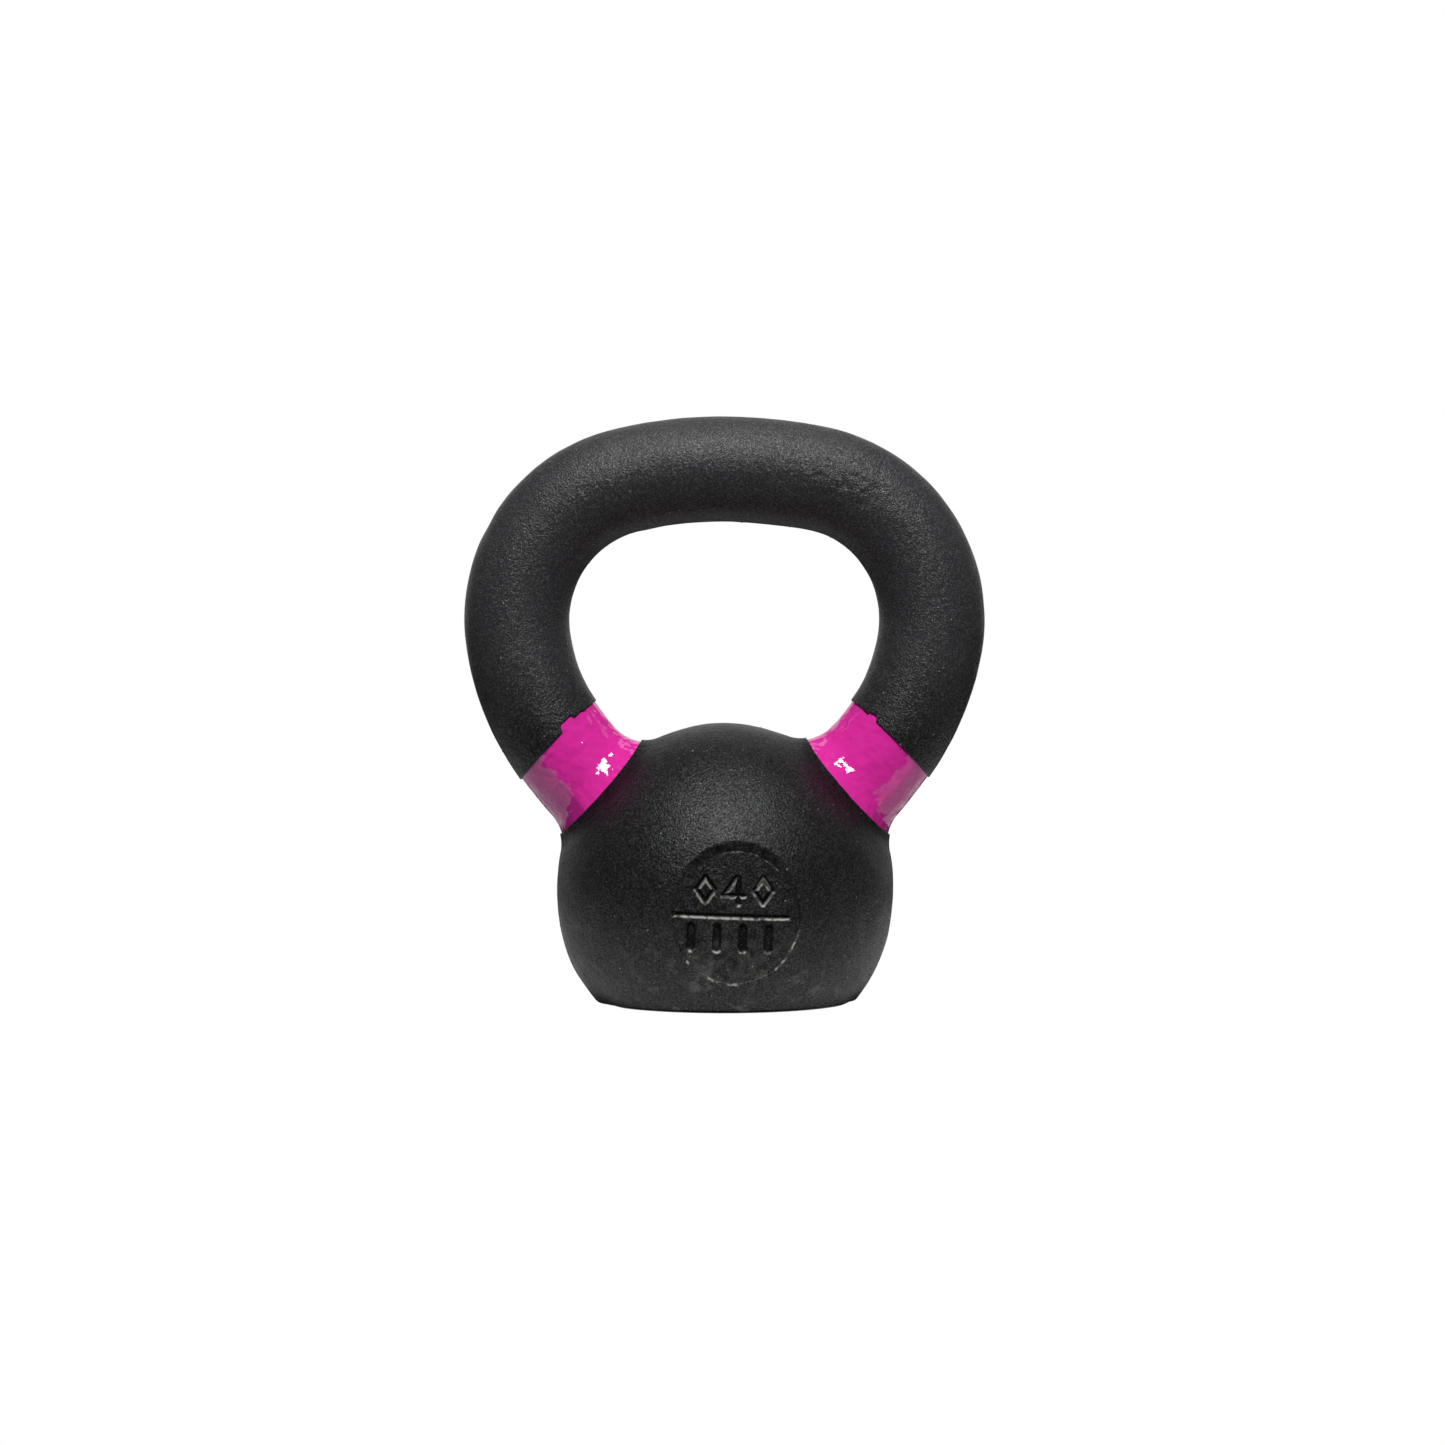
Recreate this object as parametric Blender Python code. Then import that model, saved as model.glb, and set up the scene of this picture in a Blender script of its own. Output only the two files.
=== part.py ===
"""A small cast-iron kettlebell with painted bands round its horns.

The casting is one piece: a ball with a flat base, two horns and a handle. Its
finish is modelled as thin shells: black coat on the ball, on its base and on
the handle, and a paint band round each horn. Every skin is the same surface at
its own depth, so the shells fit the casting whatever size is changed.

The frame is in metres, +Z up, with the origin under the middle of the base.
The handle runs along X, and the plaque is on the side that faces -Y.
"""

import math

import bmesh
import bpy
from mathutils import Matrix, Vector

# --- Driving dimensions -------------------------------------------------------

BALL_RADIUS = 0.0473
BALL_HEIGHT = 0.0295             # centre of the ball above the base
BASE_CORNER = 0.0020             # round between the ball and its flat base

HANDLE_DIAMETER = 0.0296
HANDLE_RISE = 0.1200             # top of the centreline above the ball's centre
HANDLE_REACH = 0.0585            # widest point of the centreline from the middle
TOP_ARC_RADIUS = 0.1232          # the nearly flat arc along the top
TOP_ARC_SWEEP = math.radians(12.7)
SHOULDER_HEADING = math.radians(98.9)   # heading where the shoulder meets the arm
HORN_ANGLE = math.radians(49.25)        # horn from upright, aimed at the centre
HORN_FILLET = 0.0113             # fillet between horn and ball

BAND_TILT = math.radians(46.0)   # the band's top edge is square to this direction
BAND_STRAIGHT = 0.0117           # paint above the fillet, along the horn
BAND_END = 0.58                  # share of the fillet that the band covers

PLAQUE_WIDTH = 0.0348
PLAQUE_HEIGHT = 0.0385
PLAQUE_SIDE = 0.0034             # plaque's middle to the right of the ball's
PLAQUE_FOOT = 0.0080             # plaque's lower edge above the base
PLAQUE_DEPTH = 0.0009            # depth of the wall round the plaque
PLAQUE_FLOOR_RADIUS = 0.082      # the floor is flatter than the ball

COAT_THICKNESS = 0.0005
BAND_THICKNESS = 0.00025         # paint is thinner than the coat beside it
GAP = 0.0003                     # clearance between skins that touch
CUTTER_CLEARANCE = 0.002         # the plaque's cutter stands this far out of the ball

# --- Fineness of the solids ---------------------------------------------------

COLUMNS = 28                     # round the handle, an even number
BASE_COLUMNS = 11                # those of them that run on to the base, an odd number
HANDLE_ROWS = 13
ARM_ROWS = 2
FILLET_ROWS = 3
BALL_ROWS = 13
CORNER_ROWS = 3
PLAQUE_COLUMNS = 40
PLAQUE_RINGS = 4
STATION_NUDGE = 1e-9             # puts a row just past the corner it starts from

# --- Worked out from the dimensions -------------------------------------------

TUBE_RADIUS = HANDLE_DIAMETER / 2
IRON_DEPTH = COAT_THICKNESS + GAP
BAND_DEPTH = COAT_THICKNESS - BAND_THICKNESS
PLAQUE_DROP = BALL_HEIGHT - PLAQUE_FOOT - PLAQUE_HEIGHT / 2

# The band is measured from where a fillet ball touches a straight horn.
FILLET_TOP = math.sqrt((BALL_RADIUS + HORN_FILLET) ** 2 - (TUBE_RADIUS + HORN_FILLET) ** 2)
BAND_DISTANCE = FILLET_TOP + BAND_STRAIGHT

# The shoulder arc brings the handle out to its reach, and the arm arc brings it
# back in to point at the ball's centre.
SHOULDER_RADIUS = (HANDLE_REACH - TOP_ARC_RADIUS * math.sin(TOP_ARC_SWEEP)) / (
    1 - math.sin(TOP_ARC_SWEEP))
HORN_HEADING = math.pi / 2 + HORN_ANGLE
HORN_AXIS = Vector((math.sin(HORN_ANGLE), 0, math.cos(HORN_ANGLE)))

# The base corner is a round whose centre every skin shares.
CORNER_REACH = math.sqrt((BALL_RADIUS - BASE_CORNER) ** 2
                         - (BALL_HEIGHT - BASE_CORNER) ** 2)
CORNER_POLAR = math.atan2(CORNER_REACH, -(BALL_HEIGHT - BASE_CORNER))
COAT_POLAR = CORNER_POLAR - GAP / BALL_RADIUS


def arc_step(x, z, heading, radius, new_heading):
    """End of an arc that turns right from one heading to another."""
    x += radius * (math.sin(new_heading) - math.sin(heading))
    z += radius * (math.cos(new_heading) - math.cos(heading))
    return x, z


def arm_radius():
    """Radius of the arm arc whose end points at the ball's centre."""
    x, z = arc_step(0, HANDLE_RISE, 0, TOP_ARC_RADIUS, TOP_ARC_SWEEP)
    x, z = arc_step(x, z, TOP_ARC_SWEEP, SHOULDER_RADIUS, SHOULDER_HEADING)
    sine = math.sin(HORN_HEADING) - math.sin(SHOULDER_HEADING)
    cosine = math.cos(HORN_HEADING) - math.cos(SHOULDER_HEADING)
    across = z * HORN_AXIS.x - x * HORN_AXIS.z
    return across / (sine * HORN_AXIS.z - cosine * HORN_AXIS.x)


CENTRELINE = (
    (TOP_ARC_RADIUS, TOP_ARC_SWEEP),
    (SHOULDER_RADIUS, SHOULDER_HEADING),
    (arm_radius(), HORN_HEADING),
)


def centreline(length):
    """Point and heading of the handle's middle line, a length from its top."""
    x, z, heading = 0, HANDLE_RISE, 0
    for radius, end_heading in CENTRELINE:
        turn = min(length / radius, end_heading - heading)
        x, z = arc_step(x, z, heading, radius, heading + turn)
        heading += turn
        length -= radius * turn
    x += length * math.cos(heading)
    z -= length * math.sin(heading)
    return Vector((x, 0, z)), heading


def tube_normal(heading, angle):
    """Outward direction on the tube: 0 outside, a quarter turn on the front."""
    side = Vector((math.sin(heading), 0, math.cos(heading)))
    return math.cos(angle) * side + math.sin(angle) * Vector((0, -1, 0))


def bisect(value, low, high):
    """Where a falling function crosses zero."""
    for _ in range(50):
        middle = (low + high) / 2
        if value(middle) > 0:
            low = middle
        else:
            high = middle
    return (low + high) / 2


def slerp(start, end, share):
    """Direction part of the way from one unit vector to another."""
    angle = start.angle(end)
    if angle < 1e-9:
        return start.copy()
    first = math.sin((1 - share) * angle) / math.sin(angle)
    second = math.sin(share * angle) / math.sin(angle)
    return first * start + second * end


class Column:
    """One line of the skin, from the top of the handle down over the ball.

    Along it, stations 0 to 1 run down the handle to the band, 1 to 2 on down
    the arm to the fillet, 2 to 3 round the fillet, 3 to 4 over the ball, and,
    where the column reaches the base, 4 to 5 round the base corner.
    """

    def __init__(self, angle):
        self.angle = angle
        reach = TUBE_RADIUS + HORN_FILLET

        def clearance(length):
            point, heading = centreline(length)
            rolling = point + reach * tube_normal(heading, angle)
            return rolling.length - (BALL_RADIUS + HORN_FILLET)

        def above_band(length):
            point, heading = centreline(length)
            surface = point + TUBE_RADIUS * tube_normal(heading, angle)
            across = Vector((math.sin(BAND_TILT), 0, math.cos(BAND_TILT)))
            return surface.dot(across) - BAND_DISTANCE

        self.contact = bisect(clearance, 0, self.centre_length())
        self.band = bisect(above_band, 0, self.contact)
        point, heading = centreline(self.contact)
        self.normal = tube_normal(heading, angle)
        self.rolling = point + reach * self.normal
        self.ball_contact = self.rolling.normalized()
        self.edge = None
        self.on_base = False

    @staticmethod
    def centre_length():
        """Length of centreline from the top of the handle to the ball's centre."""
        length, heading = 0, 0
        for radius, end_heading in CENTRELINE:
            length += radius * (end_heading - heading)
            heading = end_heading
        return length + centreline(length)[0].length

    def point(self, station, depth):
        """A point of the skin, its depth below the coated surface."""
        if station <= 2:
            if station <= 1:
                length = station * self.band
            else:
                length = self.band + (station - 1) * (self.contact - self.band)
            middle, heading = centreline(length)
            place = middle + (TUBE_RADIUS - depth) * tube_normal(heading, self.angle)
        elif station <= 3:
            inward = slerp(-self.normal, -self.ball_contact, station - 2)
            place = self.rolling + (HORN_FILLET + depth) * inward
        elif station <= 4:
            place = (BALL_RADIUS - depth) * slerp(self.ball_contact, self.edge, station - 3)
        else:
            place = self.corner_point(station - 4, depth)
        return place + Vector((0, 0, BALL_HEIGHT))

    def corner_point(self, share, depth):
        """A point of the base corner, from the ball to the flat base."""
        outward = Vector((self.edge.x, self.edge.y, 0)).normalized()
        polar = CORNER_POLAR + share * (math.pi - CORNER_POLAR)
        turned = math.sin(polar) * outward + Vector((0, 0, math.cos(polar)))
        centre = CORNER_REACH * outward - Vector((0, 0, BALL_HEIGHT - BASE_CORNER))
        return centre + (BASE_CORNER - depth) * turned


def make_columns():
    """The columns of the right half, evenly spaced where the ball half ends.

    The outer ones end on the rim of the base. The others end on the middle
    plane, from the front of the base over the top of the ball to its back.
    """
    columns = [Column(2 * math.pi * i / COLUMNS) for i in range(COLUMNS)]
    reach = BASE_COLUMNS // 2
    for i, column in enumerate(columns):
        step = i if i <= COLUMNS // 2 else i - COLUMNS
        front = math.copysign(1, step)
        column.on_base = abs(step) <= reach
        if column.on_base:
            around = math.pi / 2 * step / reach
            polar = COAT_POLAR
        else:
            around = math.pi / 2 * front
            polar = COAT_POLAR * (COLUMNS / 2 - abs(step)) / (COLUMNS / 2 - reach)
        x = math.sin(polar) * math.cos(around)
        if abs(step) >= reach:
            x = 0
        column.edge = Vector((x, -math.sin(polar) * math.sin(around), math.cos(polar)))
    return columns


# --- Meshes -------------------------------------------------------------------

def spread(start, end, steps):
    """Evenly spaced stations, both ends included."""
    return [start + (end - start) * i / steps for i in range(steps + 1)]


def add_grid(mesh, columns, stations, depth, inner=False, closed=True):
    """Add one skin and return its rows of vertices."""
    rows = [[mesh.verts.new(column.point(station, depth)) for column in columns]
            for station in stations]
    for upper, lower in zip(rows, rows[1:]):
        join_rows(mesh, upper, lower, inner, closed)
    return rows


def join_rows(mesh, upper, lower, inner=False, closed=True):
    """Add the faces between two rows of vertices.

    Each four-sided face is cut across the same diagonal in every skin, so that
    skins a gap apart stay parallel.
    """
    for i in range(len(upper) if closed else len(upper) - 1):
        j = (i + 1) % len(upper)
        for corners in ((upper[i], upper[j], lower[j]), (upper[i], lower[j], lower[i])):
            mesh.faces.new(corners[::-1] if inner else corners)


def base_columns(columns):
    """The columns that reach the base, in order from front to back."""
    reach = BASE_COLUMNS // 2
    return [columns[step % COLUMNS] for step in range(reach, -reach - 1, -1)]


def mesh_object(name, mesh, material):
    """Turn a bmesh into an object of the model."""
    data = bpy.data.meshes.new(name)
    mesh.to_mesh(data)
    mesh.free()
    data.shade_smooth()
    data.set_sharp_from_angle(angle=math.radians(40))
    data.materials.append(material)
    piece = bpy.data.objects.new(name, data)
    bpy.context.collection.objects.link(piece)
    return piece


def mirror(piece):
    """Make the left half from the right one."""
    modifier = piece.modifiers.new("Left half", "MIRROR")
    modifier.merge_threshold = 0.00001


def material(name, colour, roughness, metallic=0.0):
    """A Principled material with one colour."""
    finish = bpy.data.materials.new(name)
    finish.use_nodes = True
    shader = finish.node_tree.nodes["Principled BSDF"]
    shader.inputs["Base Color"].default_value = (*colour, 1)
    shader.inputs["Roughness"].default_value = roughness
    shader.inputs["Metallic"].default_value = metallic
    finish.diffuse_color = (*colour, 1)
    return finish


# --- The plaque's cutters -----------------------------------------------------

def plaque_frame():
    """Turn from the plaque's own axes, +Z outward, to the model's."""
    forward = math.sqrt(BALL_RADIUS ** 2 - PLAQUE_SIDE ** 2 - PLAQUE_DROP ** 2)
    outward = Vector((PLAQUE_SIDE, -forward, -PLAQUE_DROP)).normalized()
    across = Vector((0, 0, 1)).cross(outward).normalized()
    upward = outward.cross(across)
    turn = Matrix((across, upward, outward)).transposed().to_4x4()
    return Matrix.Translation((0, 0, BALL_HEIGHT)) @ turn


def cap_height(radius, top, distance):
    """Height of a round cap, a distance from its axis."""
    return top - radius + math.sqrt(radius ** 2 - distance ** 2)


def plaque_lens(name, grow, front_radius):
    """A solid from the plaque's floor out to a sphere round the ball's centre."""
    half_width = PLAQUE_WIDTH / 2 + grow
    half_height = PLAQUE_HEIGHT / 2 + grow
    edge = (PLAQUE_WIDTH + PLAQUE_HEIGHT) / 4
    wall_foot = cap_height(BALL_RADIUS, BALL_RADIUS, edge) - PLAQUE_DEPTH
    floor_drop = PLAQUE_FLOOR_RADIUS - math.sqrt(PLAQUE_FLOOR_RADIUS ** 2 - edge ** 2)
    floor_top = wall_foot + floor_drop - grow
    lens = bmesh.new()
    caps = []
    for radius, top in ((PLAQUE_FLOOR_RADIUS, floor_top), (front_radius, front_radius)):
        rings = []
        for k in range(1, PLAQUE_RINGS + 1):
            ring = []
            for i in range(PLAQUE_COLUMNS):
                turn = 2 * math.pi * i / PLAQUE_COLUMNS
                x = half_width * k / PLAQUE_RINGS * math.cos(turn)
                y = half_height * k / PLAQUE_RINGS * math.sin(turn)
                z = cap_height(radius, top, math.hypot(x, y))
                ring.append(lens.verts.new((x, y, z)))
            rings.append(ring)
        middle = lens.verts.new((0, 0, top))
        for i in range(PLAQUE_COLUMNS):
            lens.faces.new((middle, rings[0][i], rings[0][(i + 1) % PLAQUE_COLUMNS]))
        for inner, outer in zip(rings, rings[1:]):
            join_rows(lens, inner, outer)
        caps.append(rings[-1])
    join_rows(lens, caps[0], caps[1])
    bmesh.ops.recalc_face_normals(lens, faces=lens.faces)
    lens.transform(plaque_frame())
    cutter = mesh_object(name, lens, COAT)
    cutter.hide_render = True
    cutter.display_type = "WIRE"
    return cutter


def combine(piece, other, operation):
    """Add or take away another solid."""
    modifier = piece.modifiers.new(other.name, "BOOLEAN")
    modifier.operation = operation
    modifier.object = other


# --- The pieces ---------------------------------------------------------------

def fillet_gap(columns):
    """Share of the fillet's arc that the gap takes."""
    arc = min(column.normal.angle(column.ball_contact) for column in columns)
    return GAP / (HORN_FILLET * arc)


def handle_gap(columns):
    """Share of the handle's length that half the gap takes."""
    return GAP / 2 / min(column.band for column in columns)


def arm_gap(columns):
    """Share of the arm below the band's top edge that half the gap takes."""
    return GAP / 2 / min(column.contact - column.band for column in columns)


def make_casting(columns):
    """The one-piece iron casting, with its plaque recessed."""
    casting = bmesh.new()
    stations = spread(0, 1, HANDLE_ROWS)
    stations += spread(1, 2, ARM_ROWS)[1:]
    stations += spread(2, 2 + BAND_END, FILLET_ROWS)[1:]
    stations += spread(2 + BAND_END, 3, FILLET_ROWS)[1:]
    stations += spread(3, 4, BALL_ROWS)[1:]
    rows = add_grid(casting, columns, stations, IRON_DEPTH)
    foot = base_columns(columns)
    upper = [rows[-1][columns.index(column)] for column in foot]
    for station in spread(4, 5, CORNER_ROWS):
        lower = [casting.verts.new(column.point(station + STATION_NUDGE, IRON_DEPTH))
                 for column in foot]
        join_rows(casting, lower, upper, closed=False)
        upper = lower
    casting.faces.new(reversed(upper))
    piece = mesh_object("iron_casting", casting, IRON)
    mirror(piece)
    combine(piece, plaque_lens("casting_cutter", IRON_DEPTH, BALL_RADIUS + CUTTER_CLEARANCE),
            "DIFFERENCE")
    return piece


def make_ball_coat(columns):
    """The black coat on the ball, which follows the plaque."""
    coat = bmesh.new()
    start = 2 + BAND_END + fillet_gap(columns) / 2
    stations = spread(start, 3, FILLET_ROWS)
    stations += spread(3, 4, BALL_ROWS)[1:]
    outer = add_grid(coat, columns, stations, 0)
    inner = add_grid(coat, columns, stations, COAT_THICKNESS, inner=True)
    join_rows(coat, inner[0], outer[0])
    foot = [columns.index(column) for column in base_columns(columns)]
    join_rows(coat, [inner[-1][i] for i in foot], [outer[-1][i] for i in foot],
              closed=False)
    piece = mesh_object("ball_coat", coat, COAT)
    mirror(piece)
    combine(piece, plaque_lens("coat_plug", COAT_THICKNESS,
                               BALL_RADIUS - COAT_THICKNESS / 2), "UNION")
    combine(piece, plaque_lens("coat_cutter", 0, BALL_RADIUS + CUTTER_CLEARANCE),
            "DIFFERENCE")
    return piece


def make_base_coat(columns):
    """The black coat on the flat base, up round its corner."""
    coat = bmesh.new()
    foot = base_columns(columns)
    stations = [station + STATION_NUDGE for station in spread(4, 5, CORNER_ROWS)]
    outer = add_grid(coat, foot, stations, 0, inner=True, closed=False)
    inner = add_grid(coat, foot, stations, COAT_THICKNESS, closed=False)
    join_rows(coat, outer[0], inner[0], closed=False)
    coat.faces.new(reversed(outer[-1]))
    coat.faces.new(inner[-1])
    piece = mesh_object("base_coat", coat, COAT)
    mirror(piece)
    return piece


def make_handle_coat(columns):
    """The black coat on the handle, from one band to the other."""
    coat = bmesh.new()
    stations = spread(0, 1 - handle_gap(columns), HANDLE_ROWS)
    outer = add_grid(coat, columns, stations, 0)
    inner = add_grid(coat, columns, stations, COAT_THICKNESS, inner=True)
    join_rows(coat, outer[-1], inner[-1])
    piece = mesh_object("handle_coat", coat, COAT)
    mirror(piece)
    return piece


def make_band(name, columns, side):
    """A paint band round one horn: side is 1 on the right, -1 on the left."""
    band = bmesh.new()
    stations = spread(1 + arm_gap(columns), 2, ARM_ROWS)
    stations += spread(2, 2 + BAND_END - fillet_gap(columns) / 2, FILLET_ROWS)[1:]
    outer = add_grid(band, columns, stations, BAND_DEPTH)
    inner = add_grid(band, columns, stations, COAT_THICKNESS, inner=True)
    join_rows(band, inner[0], outer[0])
    join_rows(band, outer[-1], inner[-1])
    if side < 0:
        band.transform(Matrix.Scale(-1, 4, (1, 0, 0)))
        bmesh.ops.reverse_faces(band, faces=band.faces)
    return mesh_object(name, band, BAND_PAINT)


for old in list(bpy.data.objects):
    bpy.data.objects.remove(old)

IRON = material("grey cast iron", (0.16, 0.16, 0.17), 0.6, metallic=1.0)
COAT = material("black textured coat", (0.026, 0.026, 0.027), 0.55)
BAND_PAINT = material("magenta gloss paint", (0.71, 0.017, 0.30), 0.2)

skin_columns = make_columns()
make_casting(skin_columns)
make_ball_coat(skin_columns)
make_base_coat(skin_columns)
make_handle_coat(skin_columns)
make_band("left_band", skin_columns, -1)
make_band("right_band", skin_columns, 1)
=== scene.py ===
# %% [markdown]
# # A painted cast-iron kettlebell
#
# This lesson dresses a finished CAD model. The CAD part is a solid iron casting
# with thin shells for its black coat and its two paint bands, and it is right
# in size but plain. Here each shell is replaced by a finer one that has the
# casting's lumps, its sunk plaque, the ragged edges of the coat and a material
# worked out from what the real finish is.

# %% Load the fixed frame
import math

import bpy
import numpy as np
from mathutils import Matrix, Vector
from mathutils.geometry import delaunay_2d_cdt


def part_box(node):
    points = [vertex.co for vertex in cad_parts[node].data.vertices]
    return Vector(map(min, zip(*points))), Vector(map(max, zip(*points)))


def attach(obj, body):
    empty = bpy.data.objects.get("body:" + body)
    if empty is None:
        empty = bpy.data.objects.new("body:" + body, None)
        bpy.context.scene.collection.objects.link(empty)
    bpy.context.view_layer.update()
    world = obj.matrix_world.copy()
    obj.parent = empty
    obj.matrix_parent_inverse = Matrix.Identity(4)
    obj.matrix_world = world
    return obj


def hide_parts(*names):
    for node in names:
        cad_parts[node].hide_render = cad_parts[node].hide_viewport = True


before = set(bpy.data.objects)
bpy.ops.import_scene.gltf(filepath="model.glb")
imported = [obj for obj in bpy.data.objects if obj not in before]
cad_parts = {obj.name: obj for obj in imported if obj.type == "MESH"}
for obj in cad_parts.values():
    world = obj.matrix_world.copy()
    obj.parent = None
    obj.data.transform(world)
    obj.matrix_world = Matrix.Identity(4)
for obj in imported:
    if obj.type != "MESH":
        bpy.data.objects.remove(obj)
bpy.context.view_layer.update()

# %% [markdown]
# ## The measures
#
# The handle is one round bar, and the ball is a sphere cut flat underneath. A
# fillet joins them. Every size could be typed in again, but then the fine shells
# might not fit the casting, so what a CAD box can give is read from it. The few
# shape values that a box can't give are the casting's own arcs and angles, in
# metres and radians.

# %% Measures from the CAD boxes
FACET_LOSS = 0.00004             # the CAD's flat facets make its box this much narrower
handle_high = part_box("handle_coat")[1]
TUBE_RADIUS = handle_high.y
BALL_HEIGHT = 0.0295             # from the floor to the ball's middle
HANDLE_RISE = handle_high.z - TUBE_RADIUS - BALL_HEIGHT
HANDLE_REACH = handle_high.x - TUBE_RADIUS + FACET_LOSS
BALL_RADIUS = 0.0473
BASE_CORNER = 0.0020             # rounding of the base's edge

# %% The casting's arcs and angles
TOP_ARC_RADIUS = 0.1232
TOP_ARC_SWEEP = math.radians(12.7)
SHOULDER_HEADING = math.radians(98.9)
HORN_ANGLE = math.radians(49.25)
HORN_FILLET = 0.0113
HORN_HEADING = math.pi / 2 + HORN_ANGLE
HORN_AXIS = np.array((math.sin(HORN_ANGLE), 0, math.cos(HORN_ANGLE)))
SHOULDER_RADIUS = (HANDLE_REACH - TOP_ARC_RADIUS * math.sin(TOP_ARC_SWEEP)) / (
    1 - math.sin(TOP_ARC_SWEEP))

COAT_THICKNESS = 0.0005
BAND_DEPTH = 0.00056             # from the coat's face down to the paint's face
BAND_THICKNESS = 0.00014

# %% [markdown]
# ## The handle's middle line
#
# A cast handle could be drawn by hand as a curve, but this one follows a rule: a
# nearly flat arc along the top, a tight shoulder arc, and an arm that bends back
# until it points at the middle of the ball. Three arcs in a row keep the bar
# smooth, and every point is found from its length along the line.

# %% Middle line from three arcs
def arc_step(x, z, heading, radius, new_heading):
    """End of an arc that turns right from one heading to another."""
    x = x + radius * (np.sin(new_heading) - np.sin(heading))
    z = z + radius * (np.cos(new_heading) - np.cos(heading))
    return x, z


def arm_radius():
    """Radius of the arm's arc, whose end points at the middle of the ball."""
    x, z = arc_step(0, HANDLE_RISE, 0, TOP_ARC_RADIUS, TOP_ARC_SWEEP)
    x, z = arc_step(x, z, TOP_ARC_SWEEP, SHOULDER_RADIUS, SHOULDER_HEADING)
    sine = math.sin(HORN_HEADING) - math.sin(SHOULDER_HEADING)
    cosine = math.cos(HORN_HEADING) - math.cos(SHOULDER_HEADING)
    across = z * HORN_AXIS[0] - x * HORN_AXIS[2]
    return across / (sine * HORN_AXIS[2] - cosine * HORN_AXIS[0])


ARCS = (
    (TOP_ARC_RADIUS, TOP_ARC_SWEEP),
    (SHOULDER_RADIUS, SHOULDER_HEADING),
    (arm_radius(), HORN_HEADING),
)


def centreline(length):
    """Points and headings of the middle line, at lengths from its top."""
    x = np.zeros_like(length)
    z = np.full_like(length, HANDLE_RISE)
    heading = np.zeros_like(length)
    left = length.copy()
    for radius, end_heading in ARCS:
        turn = np.minimum(left / radius, end_heading - heading)
        x, z = arc_step(x, z, heading, radius, heading + turn)
        heading = heading + turn
        left = left - radius * turn
    x = x + left * np.cos(heading)
    z = z - left * np.sin(heading)
    return np.stack((x, np.zeros_like(x), z), -1), heading


def tube_normal(heading, angle):
    """Outward direction on the bar: 0 outside, a quarter turn on the front."""
    side = np.stack((np.sin(heading), np.zeros_like(heading), np.cos(heading)), -1)
    front = np.array((0, -1.0, 0))
    return np.cos(angle)[..., None] * side + np.sin(angle)[..., None] * front


print("arm arc radius, mm:", round(ARCS[2][0] * 1000, 1))

# %% [markdown]
# ## Where the horns meet the ball
#
# A foundry fillet is the surface that a ball would leave if it rolled in the
# corner between two shapes. A Boolean and a Bevel modifier could make one, but
# they leave uneven faces just where the paint shines most. So it is worked out:
# for each line down the bar, the rolling ball stops where it touches both the
# bar and the kettlebell's ball. That place is found by halving an interval, for
# all the lines at once.

# %% Rolling-ball fillet
HALVINGS = 45                    # enough to reach a number's last digits


def bisect(value, low, high):
    """Where falling functions cross zero, for arrays of ends."""
    for _ in range(HALVINGS):
        middle = (low + high) / 2
        above = value(middle) > 0
        low = np.where(above, middle, low)
        high = np.where(above, high, middle)
    return (low + high) / 2


def unit(vectors):
    """Vectors at length one."""
    return vectors / np.linalg.norm(vectors, axis=-1, keepdims=True)


def slerp(start, end, share):
    """Directions part of the way from one set of unit vectors to another."""
    angle = np.arccos(np.clip((start * end).sum(-1), -1, 1))[..., None]
    share = np.asarray(share)[..., None]
    return (np.sin((1 - share) * angle) * start + np.sin(share * angle) * end) / np.sin(angle)


COLUMNS = 200                    # lines down the bar
ANGLES = np.arange(COLUMNS) * 2 * math.pi / COLUMNS
ROLL_REACH = TUBE_RADIUS + HORN_FILLET
LONGEST_LINE = 0.2               # metres, past the end of every line down the bar


def clearance(length):
    """How far a rolling ball against the bar is from touching the ball."""
    point, heading = centreline(length)
    rolling = point + ROLL_REACH * tube_normal(heading, ANGLES)
    return np.linalg.norm(rolling, axis=-1) - (BALL_RADIUS + HORN_FILLET)


CONTACT = bisect(clearance, np.zeros(COLUMNS), np.full(COLUMNS, LONGEST_LINE))
contact_point, contact_heading = centreline(CONTACT)
BAR_NORMAL = tube_normal(contact_heading, ANGLES)
ROLLING = contact_point + ROLL_REACH * BAR_NORMAL
BALL_CONTACT = unit(ROLLING)
FILLET_ANGLE = np.arccos((BAR_NORMAL * BALL_CONTACT).sum(-1))
print("fillet arc, mm:", round(float(HORN_FILLET * FILLET_ANGLE.mean() * 1000), 1))

# %% [markdown]
# ## The edges of the bands
#
# On the real kettlebell the horns were wrapped in tape while the rest was
# coated, and then painted. The tape's upper edge makes a straight cut across
# the bar, with a torn place on each side where the coat came away; the lower
# edge lies in the fillet and swings down a little at the front and the back. A
# mask in a material could show these lines, but the coat stands above the
# paint. So each line is found on every column, and the meshes end there.

# %% Soft steps and uneven lines
WHOLE_TURN = 6.3                 # radians


def smooth(low, high, value):
    """A soft step from 0 at low to 1 at high."""
    share = np.clip((value - low) / (high - low), 0, 1)
    return share * share * (3 - 2 * share)


def ripple(angle, seed, waves, size):
    """Small uneven waviness round a bar, the same on every run."""
    random = np.random.default_rng(seed)
    total = np.zeros_like(angle)
    for wave in waves:
        total += random.normal() * np.sin(wave * angle + random.uniform(0, WHOLE_TURN)) / wave ** 0.5
    return size * total / len(waves) ** 0.5


# %% Upper edge of the bands
FILLET_TOP = math.sqrt((BALL_RADIUS + HORN_FILLET) ** 2 - ROLL_REACH ** 2)
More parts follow.
